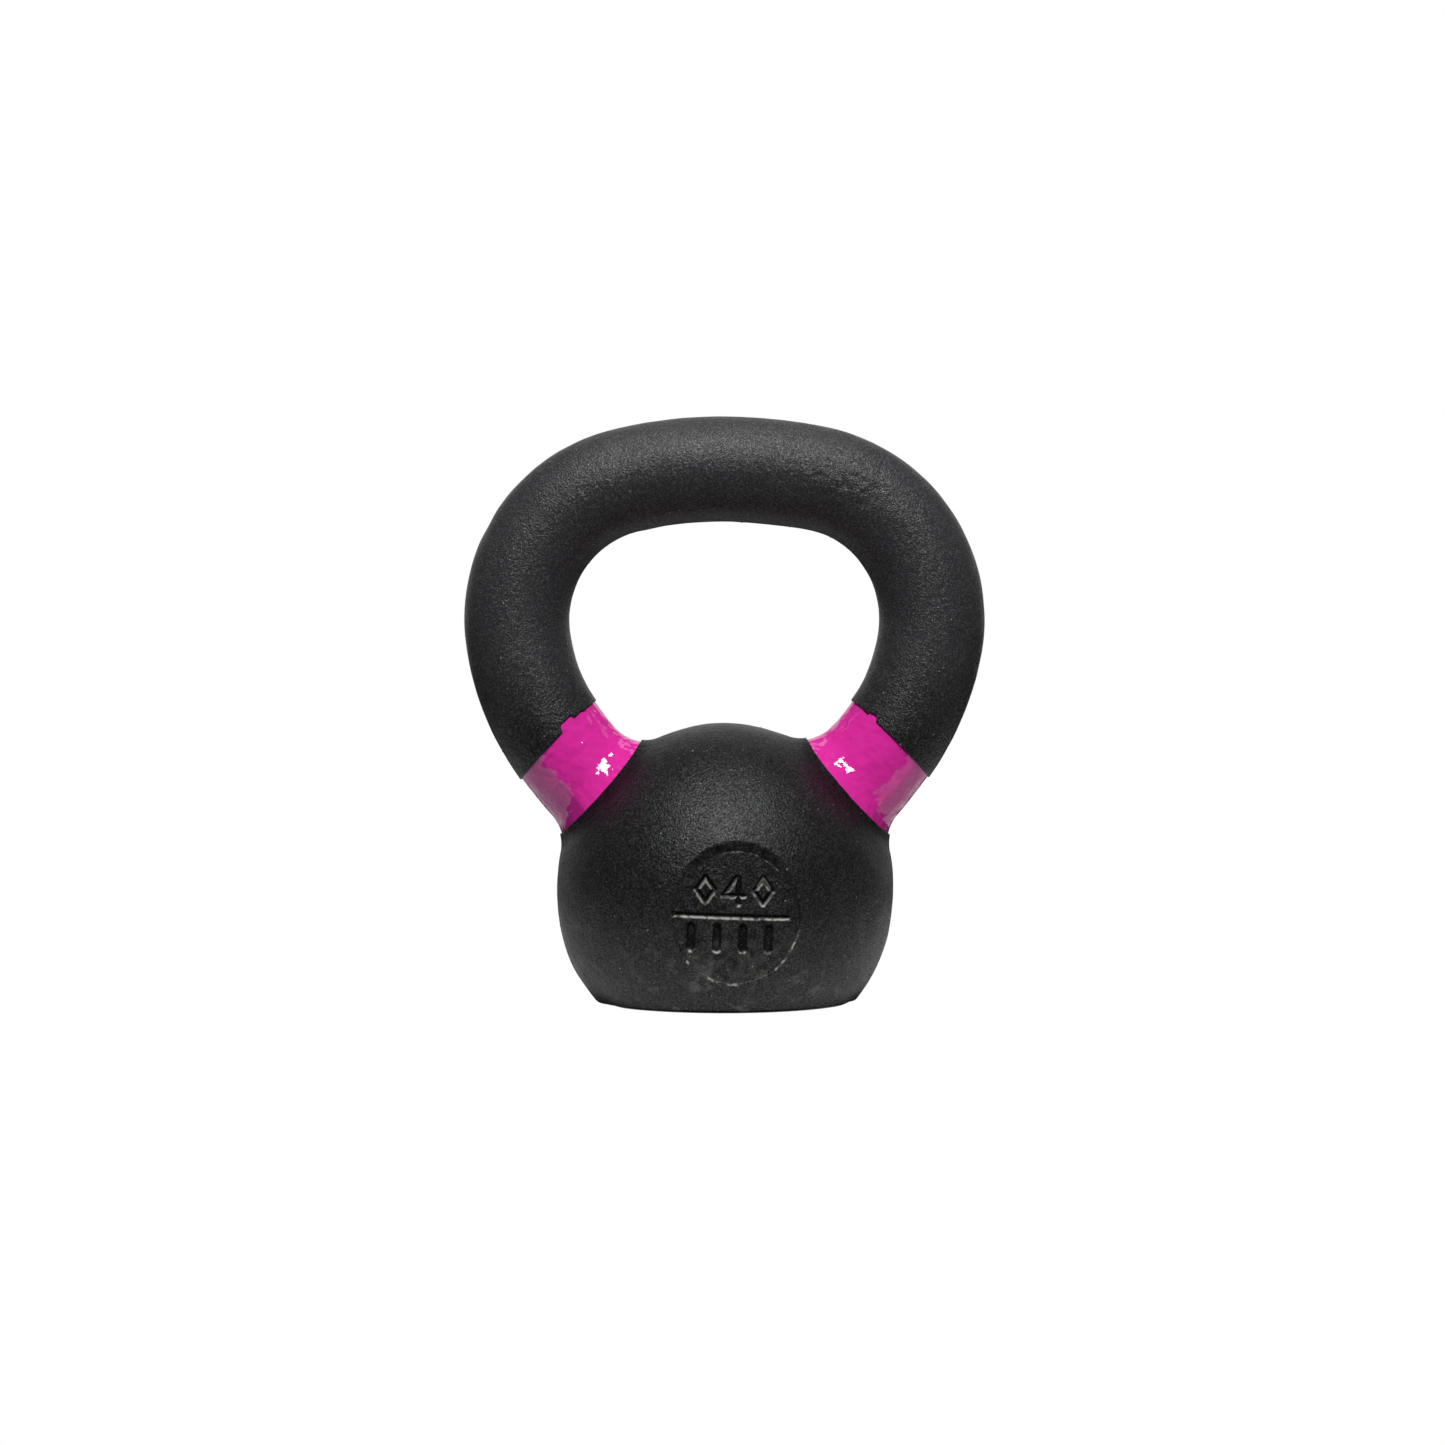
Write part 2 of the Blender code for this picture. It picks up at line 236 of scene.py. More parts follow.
# The tape's cut: its tilt from upright, its distance from the ball's middle, and
# the waves, size and seed of its raggedness.
TAPE_TILT = {-1: math.radians(46.7), 1: math.radians(45.2)}
TAPE_DISTANCE = {-1: FILLET_TOP + 0.0115, 1: FILLET_TOP + 0.0118}
TAPE_WAVES = range(9, 60, 3)
TAPE_RAG = 0.00016
TAPE_SEED = 11

# Torn places: start and end in degrees round the bar, full height and first height.
TEARS = {-1: (138, 104, 0.0020, 0.0006), 1: (133, 120, 0.0012, 0.0009)}
TEAR_CLIMB = (0.40, 0.52)        # the share of a torn place in which it grows


def tear(side):
    """How far the coat is torn back on each column: sharp ends, a climb between."""
    start, end, height, foot = TEARS[side]
    start = math.radians(start)
    run = np.clip((start - ANGLES) / (start - math.radians(end)), 0, 1)
    inside = (run > 0) & (run < 1)
    return np.where(inside, foot + (height - foot) * smooth(*TEAR_CLIMB, run), 0)


def straight_edge(side):
    """Lengths down the bar at which each column meets the tape's upper edge."""
    cut = np.array((math.sin(TAPE_TILT[side]), 0, math.cos(TAPE_TILT[side])))

    def above(length):
        point, heading = centreline(length)
        return (point + TUBE_RADIUS * tube_normal(heading, ANGLES)) @ cut - TAPE_DISTANCE[side]

    return bisect(above, np.zeros(COLUMNS), CONTACT)


# %% Lower edge of the bands
# As shares of the way through the fillet: the middle value, how much the outer
# side stands higher than that, and how much the front and back hang lower.
LOWER_MIDDLE = 0.570
LOWER_LEAN = 0.040
LOWER_SAG = 0.105
LOWER_WAVES = range(7, 40, 3)
LOWER_RAG = 0.009
LOWER_SEED = 21

UPPER_EDGE = {}
LOWER_EDGE = {}
for side in (-1, 1):
    ragged = ripple(ANGLES, TAPE_SEED + side, TAPE_WAVES, TAPE_RAG)
    UPPER_EDGE[side] = straight_edge(side) - tear(side) - ragged
    swing = LOWER_MIDDLE - LOWER_LEAN * np.cos(ANGLES) + LOWER_SAG * np.sin(ANGLES) ** 2
    LOWER_EDGE[side] = swing + ripple(ANGLES, LOWER_SEED + side, LOWER_WAVES, LOWER_RAG)
print("upper edge from the top, mm:", round(float(UPPER_EDGE[1].mean() * 1000), 1))

# %% [markdown]
# ## What casting and coating do to a surface
#
# Sand-cast iron is never true: it has broad swells, smaller lumps and a few
# pits where sand came away. They could be sculpted by hand, but then coat and
# paint would not agree where they meet. Here one function of place gives the
# height everywhere, so that every piece moves together.

# %% Uneven heights of the casting
LATTICE_CELLS = 32
LATTICE_START = 50.0             # in cells; it only moves the pattern


def lattice_noise(points, size, seed):
    """Smooth random values from -1 to 1, in lumps about size across."""
    table = np.random.default_rng(seed).uniform(-1, 1, (LATTICE_CELLS,) * 3)
    place = points / size + LATTICE_START
    cell = np.floor(place).astype(int)
    part = place - cell
    part = part * part * (3 - 2 * part)
    total = np.zeros(points.shape[:-1])
    for corner in np.ndindex(2, 2, 2):
        weight = np.where(corner, part, 1 - part).prod(-1)
        index = np.moveaxis((cell + corner) % LATTICE_CELLS, -1, 0)
        total += weight * table[tuple(index)]
    return total


def mound(points, centre, radius):
    """A soft hill of height one round a place."""
    away = np.linalg.norm(points - centre, axis=-1) / radius
    return np.exp(-away ** 2)


# %% Lumps, swells and hollows of this casting
# Size across and height of the lumps that cover it all.
LUMPS = ((0.015, 0.00012), (0.0055, 0.00007), (0.0022, 0.00003))

# Place from the ball's middle, radius, and depth of single hollows.
HOLLOWS = (
    ((-0.0380, -0.004, -0.0285), 0.0065, 0.00120),   # worn foot on the left
    ((-0.0340, -0.020, -0.0285), 0.0050, 0.00060),
    ((0.0370, -0.012, -0.0285), 0.0050, 0.00050),
    ((-0.0668, 0.000, 0.1040), 0.0040, 0.00030),     # step on the left shoulder
    ((0.0300, -0.0140, 0.1180), 0.0035, 0.00022),
    ((0.0420, -0.0130, 0.1120), 0.0040, 0.00030),
    ((-0.0390, -0.0080, 0.0560), 0.0022, 0.00030),
    ((0.0310, 0.000, 0.0980), 0.0140, 0.00060),      # flat inside the right shoulder
    ((-0.0470, 0.000, -0.0100), 0.0140, 0.00040),    # flat on the ball's left
)

# The same for single swells: the horns' corners are fuller than a true fillet.
SWELLS = (
    ((-0.0465, 0.000, 0.0180), 0.0090, 0.00065),
    ((0.0475, 0.000, 0.0150), 0.0110, 0.00125),
    ((-0.0280, 0.000, 0.0450), 0.0090, 0.00085),
    ((0.0270, 0.000, 0.0450), 0.0100, 0.00150),
    ((-0.0345, 0.000, 0.0530), 0.0070, 0.00050),
    ((0.0345, 0.000, 0.0530), 0.0070, 0.00050),
)

# A pitted patch on the handle's front, where sand came away.
ROUGH_PATCH = (0.0320, -0.0140, 0.1150)
ROUGH_REACH = 0.0110
PIT_SIZE = 0.0016
PIT_LEVELS = (0.15, 0.55)        # where the noise starts to be a pit, and is full depth
PIT_DEPTH = 0.00030

# The ball's top is domed; this ends between these heights above the ball's face.
DOME_RISE = 0.0013
DOME_SPREAD = math.radians(21)
DOME_ENDS = (0.012, 0.002)
FOOT_BLEND = 0.003               # the base is flat, and lumps fade in above it


# %% Height of the casting's face
def casting_height(points):
    """How far the iron's face stands above its nominal face."""
    height = np.zeros(points.shape[:-1])
    for seed, (size, rise) in enumerate(LUMPS, 1):
        height += rise * lattice_noise(points, size, seed)
    for centre, radius, rise in SWELLS:
        height += rise * mound(points, centre, radius)
    pits = smooth(*PIT_LEVELS, lattice_noise(points, PIT_SIZE, 4))
    height -= PIT_DEPTH * (mound(points, ROUGH_PATCH, ROUGH_REACH) * pits)
    reach = np.linalg.norm(points, axis=-1)
    polar = np.arccos(np.clip(points[..., 2] / reach, -1, 1))
    on_ball = smooth(BALL_RADIUS + DOME_ENDS[0], BALL_RADIUS + DOME_ENDS[1], reach)
    height += DOME_RISE * np.exp(-(polar / DOME_SPREAD) ** 2) * on_ball
    height *= smooth(0, FOOT_BLEND, points[..., 2] + BALL_HEIGHT)
    for centre, radius, depth in HOLLOWS:
        height -= depth * mound(points, centre, radius)
    return height


def cast(points, normals, depth=0.0):
    """Nominal points moved to the uneven face, or to a depth under it."""
    lift = casting_height(points) - depth
    return points + normals * np.asarray(lift)[..., None]


# %% [markdown]
# ## Meshes from loops of points
#
# A bar is easiest as loops of points round it, joined loop to loop. The coat's
# cut edge is rounded over by setting its last loops close together and letting
# them sink. Each shell also gets an inner face with fewer loops, so that it is
# a closed thin solid, as the CAD shell is.

# %% A shell that is built up from loops
class Shell:
    """Points and faces of one thin solid, gathered loop by loop."""

    def __init__(self):
        self.points = []
        self.marks = []
        self.faces = []
        self.count = 0

    def add(self, points, **marks):
        """Adds points, with named values for the materials, and gives their numbers."""
        self.points.append(points)
        self.marks.append(marks)
        self.count += len(points)
        return np.arange(self.count - len(points), self.count)

    def join(self, loops, flip=False):
        """Adds faces from each closed loop to the next."""
        for one, other in zip(loops[:-1], loops[1:]):
            quads = np.stack((one, np.roll(one, -1), np.roll(other, -1), other), -1)
            self.faces.extend((quads[:, ::-1] if flip else quads).tolist())

    def triangles(self, faces, flip=False):
        """Adds triangles given as numbers of points."""
        self.faces.extend((faces[:, ::-1] if flip else faces).tolist())

    def piece(self, name):
        """Makes the mesh, moved from the ball's middle into the part's frame."""
        data = bpy.data.meshes.new(name)
        points = np.concatenate(self.points) + (0, 0, BALL_HEIGHT)
        data.from_pydata(points, [], self.faces)
        for mark in sorted({mark for marks in self.marks for mark in marks}):
            values = [np.broadcast_to(marks.get(mark, 0.0), len(part))
                      for marks, part in zip(self.marks, self.points)]
            layer = data.attributes.new(mark, "FLOAT", "POINT")
            layer.data.foreach_set("value", np.concatenate(values))
        data.polygons.foreach_set("use_smooth", np.ones(len(data.polygons), bool))
        made = bpy.data.objects.new(name, data)
        bpy.context.collection.objects.link(made)
        print(name, "has", len(data.vertices), "points and", len(data.polygons), "faces")
        return made


def dress(made, node):
    """Hands a finished piece to the frame in place of its CAD node."""
    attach(made, "root")
    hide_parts(*node)


# %% Points along one arm of the handle
def bar_loop(length, depth, side):
    """One loop of points round the bar, at lengths given for each column."""
    point, heading = centreline(length)
    normal = tube_normal(heading, ANGLES)
    points = (point + TUBE_RADIUS * normal) * (side, 1, 1)
    return cast(points, normal * (side, 1, 1), depth)


def fillet_loop(share, depth, side):
    """One loop of points in the fillet: share 0 at the bar, 1 at the ball."""
    inward = slerp(-BAR_NORMAL, -BALL_CONTACT, np.broadcast_to(share, COLUMNS))
    points = (ROLLING + HORN_FILLET * inward) * (side, 1, 1)
    return cast(points, -inward * (side, 1, 1), depth)


# %% [markdown]
# ## The coat on the handle
#
# The handle's coat is a hard black film about half a millimetre thick. It runs
# from band to band and stops at the torn line of the tape. A bevelled curve
# would be a quicker tube, but its ends would be cut straight, while loops of
# points can end at the torn line on every column. The last loops stand close
# together and sink, which rounds the film's edge as a thick film rounds itself.

# %% Handle coat
# Radius of the film's edge, how far before its end each of the last loops
# stands, and how deep it sinks there.
EDGE_ROUND = 0.00032
EDGE_STEPS = np.array((1.5, 1.0, 0.7, 0.48, 0.32, 0.22, 0.14, 0.08, 0.03, 0.0)) / 1000
EDGE_SINK = EDGE_ROUND - np.sqrt(
    EDGE_ROUND ** 2 - np.clip(EDGE_ROUND - EDGE_STEPS, 0, None) ** 2)
HANDLE_LOOPS = 190
INNER_LOOPS = 26


def handle_loops(shell, count, steps, sinks, depth):
    """Loops along the whole bar, from the left edge over the top to the right."""
    arms = []
    for side in (-1, 1):
        end = UPPER_EDGE[side] - steps[0]
        first = 1 if side < 0 else 0     # the two arms share the loop at the top
        outside = 1.0 if depth == 0 else 0.0
        arm = [shell.add(bar_loop(end * k / count, depth, side), outside=outside)
               for k in range(first, count)]
        arm += [shell.add(bar_loop(UPPER_EDGE[side] - step, depth + sink, side))
                for step, sink in zip(steps, sinks)]
        arms.append(arm)
    return arms[0][::-1] + arms[1]


def make_handle_coat():
    """The black coat from one band to the other."""
    shell = Shell()
    outer = handle_loops(shell, HANDLE_LOOPS, EDGE_STEPS, EDGE_SINK, 0)
    inner = handle_loops(shell, INNER_LOOPS, EDGE_STEPS[-1:], [0], COAT_THICKNESS)
    shell.join(outer)
    shell.join(inner, flip=True)
    shell.join([inner[0], outer[0]])
    shell.join([outer[-1], inner[-1]])
    return shell.piece("handle_black_coat")


handle_coat = make_handle_coat()
dress(handle_coat, ["handle_coat"])

# %% [markdown]
# ## The paint bands
#
# The paint lies in the gap that the tape left, below the coat's face, and
# reaches a little way under the coat at both ends. It could be a colour on the
# coat's own mesh, but then its edges would have no step, and it couldn't have
# its own gloss and sags. So each band is a thin shell. Its columns also carry
# how thin the paint is, which the enamel's material reads.

# %% Paint bands
UNDER_COAT = 0.00028             # how far the paint reaches under the coat

# The thin paint: how far round from the outer side it goes, how ragged its edge
# is, how the edge fades, and how much thinner the paint is.
THIN_EDGE = {-1: math.radians(65), 1: math.radians(52)}
THIN_RAG = {-1: 0.01, 1: 0.05}
THIN_FADE = (0.05, -0.02)
THIN_SHARE = {-1: 1.0, 1: 0.5}
BRUSH_WAVES = range(3, 30, 2)
BRUSH_SEED = 31

# Depth of the outer and inner face, and their loops on the bar and in the fillet.
BAND_FACES = ((BAND_DEPTH, 52, 40), (BAND_DEPTH + BAND_THICKNESS, 8, 8))


def thin_paint(side):
    """Where the brush left only a thin layer: the outer face of each horn."""
    ragged = ripple(ANGLES, BRUSH_SEED + side, BRUSH_WAVES, THIN_RAG[side])
    from_outside = np.abs((ANGLES + math.pi) % (2 * math.pi) - math.pi)
    none, full = (THIN_EDGE[side] + fade for fade in THIN_FADE)
    return THIN_SHARE[side] * smooth(none, full, from_outside + ragged)


def make_band(side):
    """One band of paint, from under the upper coat to under the lower one."""
    shell = Shell()
    thin = thin_paint(side)
    start = UPPER_EDGE[side] - UNDER_COAT
    last = LOWER_EDGE[side] + UNDER_COAT / (HORN_FILLET * FILLET_ANGLE)
    layers = []
    for depth, bar_loops, fillet_loops in BAND_FACES:
        loops = []
        for share in np.arange(bar_loops) / bar_loops:
            points = bar_loop(start + (CONTACT - start) * share, depth, side)
            loops.append(shell.add(points, thin=thin))
        for share in np.arange(fillet_loops + 1) / fillet_loops:
            loops.append(shell.add(fillet_loop(last * share, depth, side), thin=thin))
        layers.append(loops)
    outer, inner = layers
    flip = side < 0
    shell.join(outer, flip)
    shell.join(inner, not flip)
    shell.join([inner[0], outer[0]], flip)
    shell.join([outer[-1], inner[-1]], flip)
    return shell.piece("left_paint_band" if flip else "right_paint_band")


left_band = make_band(-1)
right_band = make_band(1)
dress(left_band, ["left_band"])
dress(right_band, ["right_band"])

# %% [markdown]
# ## The sunk plaque
#
# The pattern maker pressed a round plaque into the ball's front. Its floor is
# nearly flat and leans, so the step at its top is deep and the one at its foot
# is slight. The weight is cut into the floor: a numeral 4 between two lozenges,
# a rule, and four tally bars. A Boolean with a text object could cut them, but
# its edges would be sharp, and these were cast, coated and rubbed. So every
# shape here is a signed distance, below zero inside it and above zero outside,
# in metres on the plaque's face. A soft step over that distance is a soft wall.

# %% The plaque's face
# Its roll, its middle's place beside and below the ball's front, its half sizes,
# and the depth, rounding and lean of its floor.
PLAQUE_ROLL = math.radians(-2.0)
PLAQUE_SIDE = 0.0034
PLAQUE_DROP = 0.0022
PLAQUE_HALF = np.array((0.0174, 0.0193))
PLAQUE_DEPTH = 0.0009
PLAQUE_FLOOR_RADIUS = 0.082
PLAQUE_LEAN = 0.00050
forward = math.sqrt(BALL_RADIUS ** 2 - PLAQUE_SIDE ** 2 - PLAQUE_DROP ** 2)
OUTWARD = np.array((PLAQUE_SIDE, -forward, -PLAQUE_DROP)) / BALL_RADIUS
level = unit(np.cross((0, 0, 1.0), OUTWARD))
upright = np.cross(OUTWARD, level)
ACROSS = level * math.cos(PLAQUE_ROLL) + upright * math.sin(PLAQUE_ROLL)
UPWARD = np.cross(OUTWARD, ACROSS)
print("plaque, mm:", 2000 * PLAQUE_HALF)

# %% The cut marks
STROKE = 0.00068                 # half the width of a cut line
TALLY = 0.00115                  # half the width of a tally bar
RULE = ((-0.0170, -0.0008), (0.0137, -0.0008))
NUMERAL = (
    ((-0.0002, 0.0095), (-0.0036, 0.0047)),
    ((-0.0036, 0.0047), (0.0019, 0.0047)),
    ((0.0004, 0.0095), (0.0004, 0.0025)),
)
LOZENGES = ((-0.0084, 0.0061), (0.0070, 0.0061))
LOZENGE_HALF = (0.0024, 0.0034)
TALLY_PLACES = (-0.0118, -0.0049, 0.0020, 0.0089)
TALLY_ENDS = (-0.0038, -0.0096)


def stroke(u, v, start, end, half_width=STROKE):
    """Signed distance to a straight round-ended line."""
    along = np.subtract(end, start)
    share = ((u - start[0]) * along[0] + (v - start[1]) * along[1]) / (along @ along)
    share = np.clip(share, 0, 1)
    return np.hypot(u - start[0] - share * along[0], v - start[1] - share * along[1]) - half_width


def lozenge(u, v, centre):
    """Signed distance to the outline of a lozenge."""
    wide, tall = LOZENGE_HALF
    corners = [np.add(centre, corner) for corner in ((wide, 0), (0, tall), (-wide, 0), (0, -tall))]
    return np.minimum.reduce([
        stroke(u, v, corner, corners[k - 1]) for k, corner in enumerate(corners)])


def mark_distance(u, v):
    """Signed distance to the nearest cut mark."""
    top, foot = TALLY_ENDS
    shapes = [stroke(u, v, start, end) for start, end in (RULE, *NUMERAL)]
    shapes += [lozenge(u, v, centre) for centre in LOZENGES]
    shapes += [stroke(u, v, (place, top), (place, foot), TALLY) for place in TALLY_PLACES]
    return np.minimum.reduce(shapes)


# %% The plaque's rim and floor
WALL_WIDTH = 0.0005              # of the step round the floor, at the plaque's foot
WALL_EXTRA = 0.0026              # how much wider it is at the top
WALL_GROWS = (-0.2, 0.9)         # between these heights, where 1 is the plaque's top
RIM_MARGIN = 0.001               # the rim crumbles up to this far outside it

# Size, height and seed of the crumbs that make the rim uneven.
CRUMBS = ((0.004, 0.00016, 8), (0.0011, 0.00012, 12))


def rim_distance(u, v):
    """Distance in from the plaque's rim, below zero outside it."""
    share = np.hypot(u / PLAQUE_HALF[0], v / PLAQUE_HALF[1])
    return (1 - share) * PLAQUE_HALF.mean()


def wall_width(v):
    """Width of the step round the floor: widest at the top."""
    return WALL_WIDTH + WALL_EXTRA * smooth(*WALL_GROWS, v / PLAQUE_HALF[1])


def plaque(points):
    """How far points on the ball sink for the plaque, and where they lie on it."""
    u = points @ ACROSS
    v = points @ UPWARD
    facing = points @ OUTWARD > 0
    inside = rim_distance(u, v)
    crumble = sum(rise * lattice_noise(points, size, seed) for size, rise, seed in CRUMBS)
    inside = inside + crumble * (inside > -RIM_MARGIN)
    wall = wall_width(v)
    edge = PLAQUE_HALF.mean()
    floor_top = math.sqrt(BALL_RADIUS ** 2 - edge ** 2) - PLAQUE_DEPTH
    floor_top += PLAQUE_FLOOR_RADIUS - math.sqrt(PLAQUE_FLOOR_RADIUS ** 2 - edge ** 2)
    floor = floor_top - PLAQUE_FLOOR_RADIUS
    floor = floor + np.sqrt(np.clip(PLAQUE_FLOOR_RADIUS ** 2 - u * u - v * v, 0, None))
    floor = floor - PLAQUE_LEAN * v / PLAQUE_HALF[1]
    sunk = (points @ OUTWARD - floor) * smooth(0, 1, inside / wall)
    return np.where(facing & (inside > 0), np.maximum(sunk, 0), 0), u, v, inside


# %% Walls of the cut marks
CUT_DEPTH = 0.00060
CUT_WALL = (0.00012, -0.00046)   # where the wall starts and ends, from a mark's outline
CHIP_RISE = 0.00009              # the outline is chipped, in chips of this height
CHIP_SIZE = 0.0008
PROBE = 0.0001                   # a step up and down that tells lower edges from upper ones
RUB_CENTRE = -0.00005            # the lower edges are rubbed, with a painted highlight, along a line here
RUB_WIDTH = 0.00026
SHADE_WALL = (0.00030, -0.00005)  # where the painted shade on the upper edges starts and is full


def cut_marks(place, here):
    """Depth of the marks, how rubbed their lower edges are, with a painted highlight, and the painted
    shade on their upper ones.
    """
    depth, bare, cavity = np.zeros((3, len(place)))
    u, v = place[here, 0], place[here, 1]
    near = mark_distance(u, v) + CHIP_RISE * lattice_noise(place[here], CHIP_SIZE, 13)
    below = mark_distance(u, v - PROBE) - mark_distance(u, v + PROBE)
    depth[here] = CUT_DEPTH * smooth(*CUT_WALL, near)
    # The lower edges are rubbed and get a painted highlight; the upper ones get painted shade.
    rubbed = np.exp(-((near - RUB_CENTRE) / RUB_WIDTH) ** 2)
    bare[here] = rubbed * np.clip(below / (1.6 * PROBE), 0, 1)
    cavity[here] = smooth(*SHADE_WALL, near) * smooth(0.5, -0.2, below / (2 * PROBE))
    return depth, bare, cavity


# %% Wear, dust, blotches, painted shade and painted glints on the plaque
# Worn places round the rim and round the ledge inside it, which also carry
# painted glints: middle and reach, in degrees from the plaque's right.
RIM_WEAR_AND_GLINT = ((-23, 9), (-44, 7), (-109, 5), (-90, 5), (-135, 2))
LEDGE_WEAR_AND_GLINT = ((99, 13), (73, 5), (57, 5), (47, 4))
LIP_WIDTH = 0.00026
LEDGE_SHINE = 0.45
MOTTLE_DARK = 0.45
SHADE_DARK = 0.50
DUST_PALE = 0.040


def wear_and_glint_at(turn, places):
    """How worn an edge is, and how strong its painted glint, at angles round the plaque, from 0 to 1.
    """
    return np.max([np.exp(-((turn - middle) / reach) ** 4) for middle, reach in places], axis=0)


def plaque_marks(u, v, inside):
    """Depth of the cut marks, its wear with painted glints and its dust, and its painted shade and
    blotches.
    """
    here = inside > 0
    place = np.stack((u, v, 0 * u), -1)
    height = v / PLAQUE_HALF[1]
    wall = inside / wall_width(v)
    depth, bare, cavity = cut_marks(place, here)

    # Dark places: painted shade on the step at the top, broken up by crust, blotches, and painted
    # shade under the step.
    crusty = 0.35 + 0.5 * smooth(-0.5, 0.6, lattice_noise(place, 0.0011, 10))
    step = smooth(0, 0.0009, inside) * smooth(1.2, 0.6, wall) * smooth(0.1, 0.8, height) * crusty
    mottle = smooth(-0.2, 0.6, lattice_noise(place, 0.0016, 9)) * smooth(0, 0.002, inside)
    shade = SHADE_DARK * smooth(0.2, 0.9, height) * here
    cavity = np.maximum.reduce((cavity, step, MOTTLE_DARK * mottle, shade))

    # Pale places: the worn lip and ledge with painted glints, broken up, and a little dust low down.
    turn = np.degrees(np.arctan2(height, u / PLAQUE_HALF[0]))
    lip = np.exp(-(inside / LIP_WIDTH) ** 2) * wear_and_glint_at(turn, RIM_WEAR_AND_GLINT)
    ledge = np.exp(-((wall - 0.95) / 0.06) ** 2) * wear_and_glint_at(turn, LEDGE_WEAR_AND_GLINT)
    rubbed = 0.15 + 0.85 * smooth(-0.4, 0.35, lattice_noise(place, 0.0007, 6))
    dusty = DUST_PALE * smooth(0.1, -0.7, height) * smooth(-0.4, 0.5, lattice_noise(place, 0.0012, 14))
    bare = np.maximum.reduce((bare, lip, LEDGE_SHINE * ledge)) * rubbed
    return depth, np.maximum(bare, dusty * here * (depth == 0)), cavity


# %% [markdown]
# ## The ball's coat
#
# The ball, the lower horns and the base carry one more film of the same coat. A
# UV sphere would bunch its points at the pole and couldn't follow a tilted
# plaque, so a sunflower spiral spreads the points evenly instead. Three spirals
# are used: a wide one for the ball, a finer one for the plaque, and the finest
# only near the cut edges. Flattening the ball from its south pole keeps every
# circle a circle, so the triangles that fill it are well shaped on the ball too.

# %% Evenly spread points on the ball
GOLDEN_TURN = math.pi * (3 - math.sqrt(5))
BOTTOM = BALL_HEIGHT - BASE_CORNER
CORNER_REACH = math.sqrt((BALL_RADIUS - BASE_CORNER) ** 2 - BOTTOM ** 2)
CORNER_POLAR = math.atan2(CORNER_REACH, -BOTTOM)
BASE_COLUMNS = 320
BASE_ANGLES = np.arange(BASE_COLUMNS) * 2 * math.pi / BASE_COLUMNS
BASE_ROUND = np.stack((np.cos(BASE_ANGLES), np.sin(BASE_ANGLES), 0 * BASE_ANGLES), -1)


def spiral(spacing, reach, axes=np.eye(3)):
    """Directions spread evenly over a cap of the ball round the last axis."""
    room = spacing ** 2 * math.sqrt(0.75)
    count = int(2 * math.pi * BALL_RADIUS ** 2 * (1 - math.cos(reach)) / room)
    number = np.arange(count)
    height = 1 - (number + 0.5) * (1 - math.cos(reach)) / count
    across = np.sqrt(1 - height ** 2)
    turn = number * GOLDEN_TURN
    flat = np.stack((across * np.cos(turn), across * np.sin(turn), height), -1)
    return flat @ axes


def horn_room(directions, side):
    """How far directions lie outside the horn's contact loop, as an angle."""
    axis = HORN_AXIS * (side, 1, 1)
    sideways = np.cross((0, 1.0, 0), axis)

    def polar(vectors):
        turn = np.arctan2(vectors[:, 1], vectors @ sideways)
        return turn, np.arccos(np.clip(vectors @ axis, -1, 1))

    loop_turn, loop_polar = polar(BALL_CONTACT * (side, 1, 1))
    order = np.argsort(loop_turn)
    turn, away = polar(directions)
    return away - np.interp(turn, loop_turn[order], loop_polar[order], period=2 * math.pi)


# %% Points where they are needed
PLAQUE_CAP = math.radians(29)    # a cap of the ball that holds the whole plaque
DENSE_MARGIN = 0.0009            # how far outside the rim the denser points start
WALL_MARGIN = 0.0003
MARK_MARGIN = 0.0005
EDGE_ROOM = 0.6                  # of a spacing, kept free beside every loop


def ball_directions(spacings):
    """Directions of the ball's own points: on the ball, on the plaque, at its edges."""
    plaque_axes = np.stack((ACROSS, UPWARD, OUTWARD))
    margin = EDGE_ROOM * spacings[0] / BALL_RADIUS
    chosen = []
    for zone, spacing in enumerate(spacings):
        found = spiral(spacing, PLAQUE_CAP, plaque_axes) if zone else spiral(spacing, CORNER_POLAR)
        u = found @ ACROSS * BALL_RADIUS
        v = found @ UPWARD * BALL_RADIUS
        inside = rim_distance(u, v)
        in_plaque = (inside > -DENSE_MARGIN) & (found @ OUTWARD > 0)
        wall = inside < wall_width(v) + WALL_MARGIN
        fine = in_plaque & (wall | (mark_distance(u, v) < MARK_MARGIN))
        keep = (~in_plaque, in_plaque & ~fine, fine)[zone]
        room = np.minimum(horn_room(found, -1), horn_room(found, 1))
        polar = np.arccos(found[:, 2])
        keep &= (room > margin) & (polar < CORNER_POLAR - margin)
        chosen.append(found[keep])
    return np.concatenate(chosen)


# %% Triangles over scattered points
SAME_PLACE = 1e-9                # points nearer than this would be merged


def fill(flat, holes):
    """Triangles over flat points, with none across the given holes."""
    edges = [pair for hole in holes for pair in zip(hole.tolist(), np.roll(hole, -1).tolist())]
    result = delaunay_2d_cdt([Vector(place) for place in flat], edges, [], 0, SAME_PLACE)
    assert len(result[0]) == len(flat), "points were merged"
    faces = np.array(result[2])
    for hole in holes:
        faces = faces[~np.isin(faces, hole).all(1)]
    return faces


def south_view(directions):
    """The ball flattened from its south pole."""
    return directions[:, :2] / (1 + directions[:, 2:])


# %% The round part of the coat
MARK_FLOOR = 0.00016             # extra depth of the coat's inner face under the plaque
CORNER_SHADE = 0.6                # painted shade: how dark the corner beside a band is made
CORNER_SPREAD = 0.18             # how far round the ball that reaches, in radians


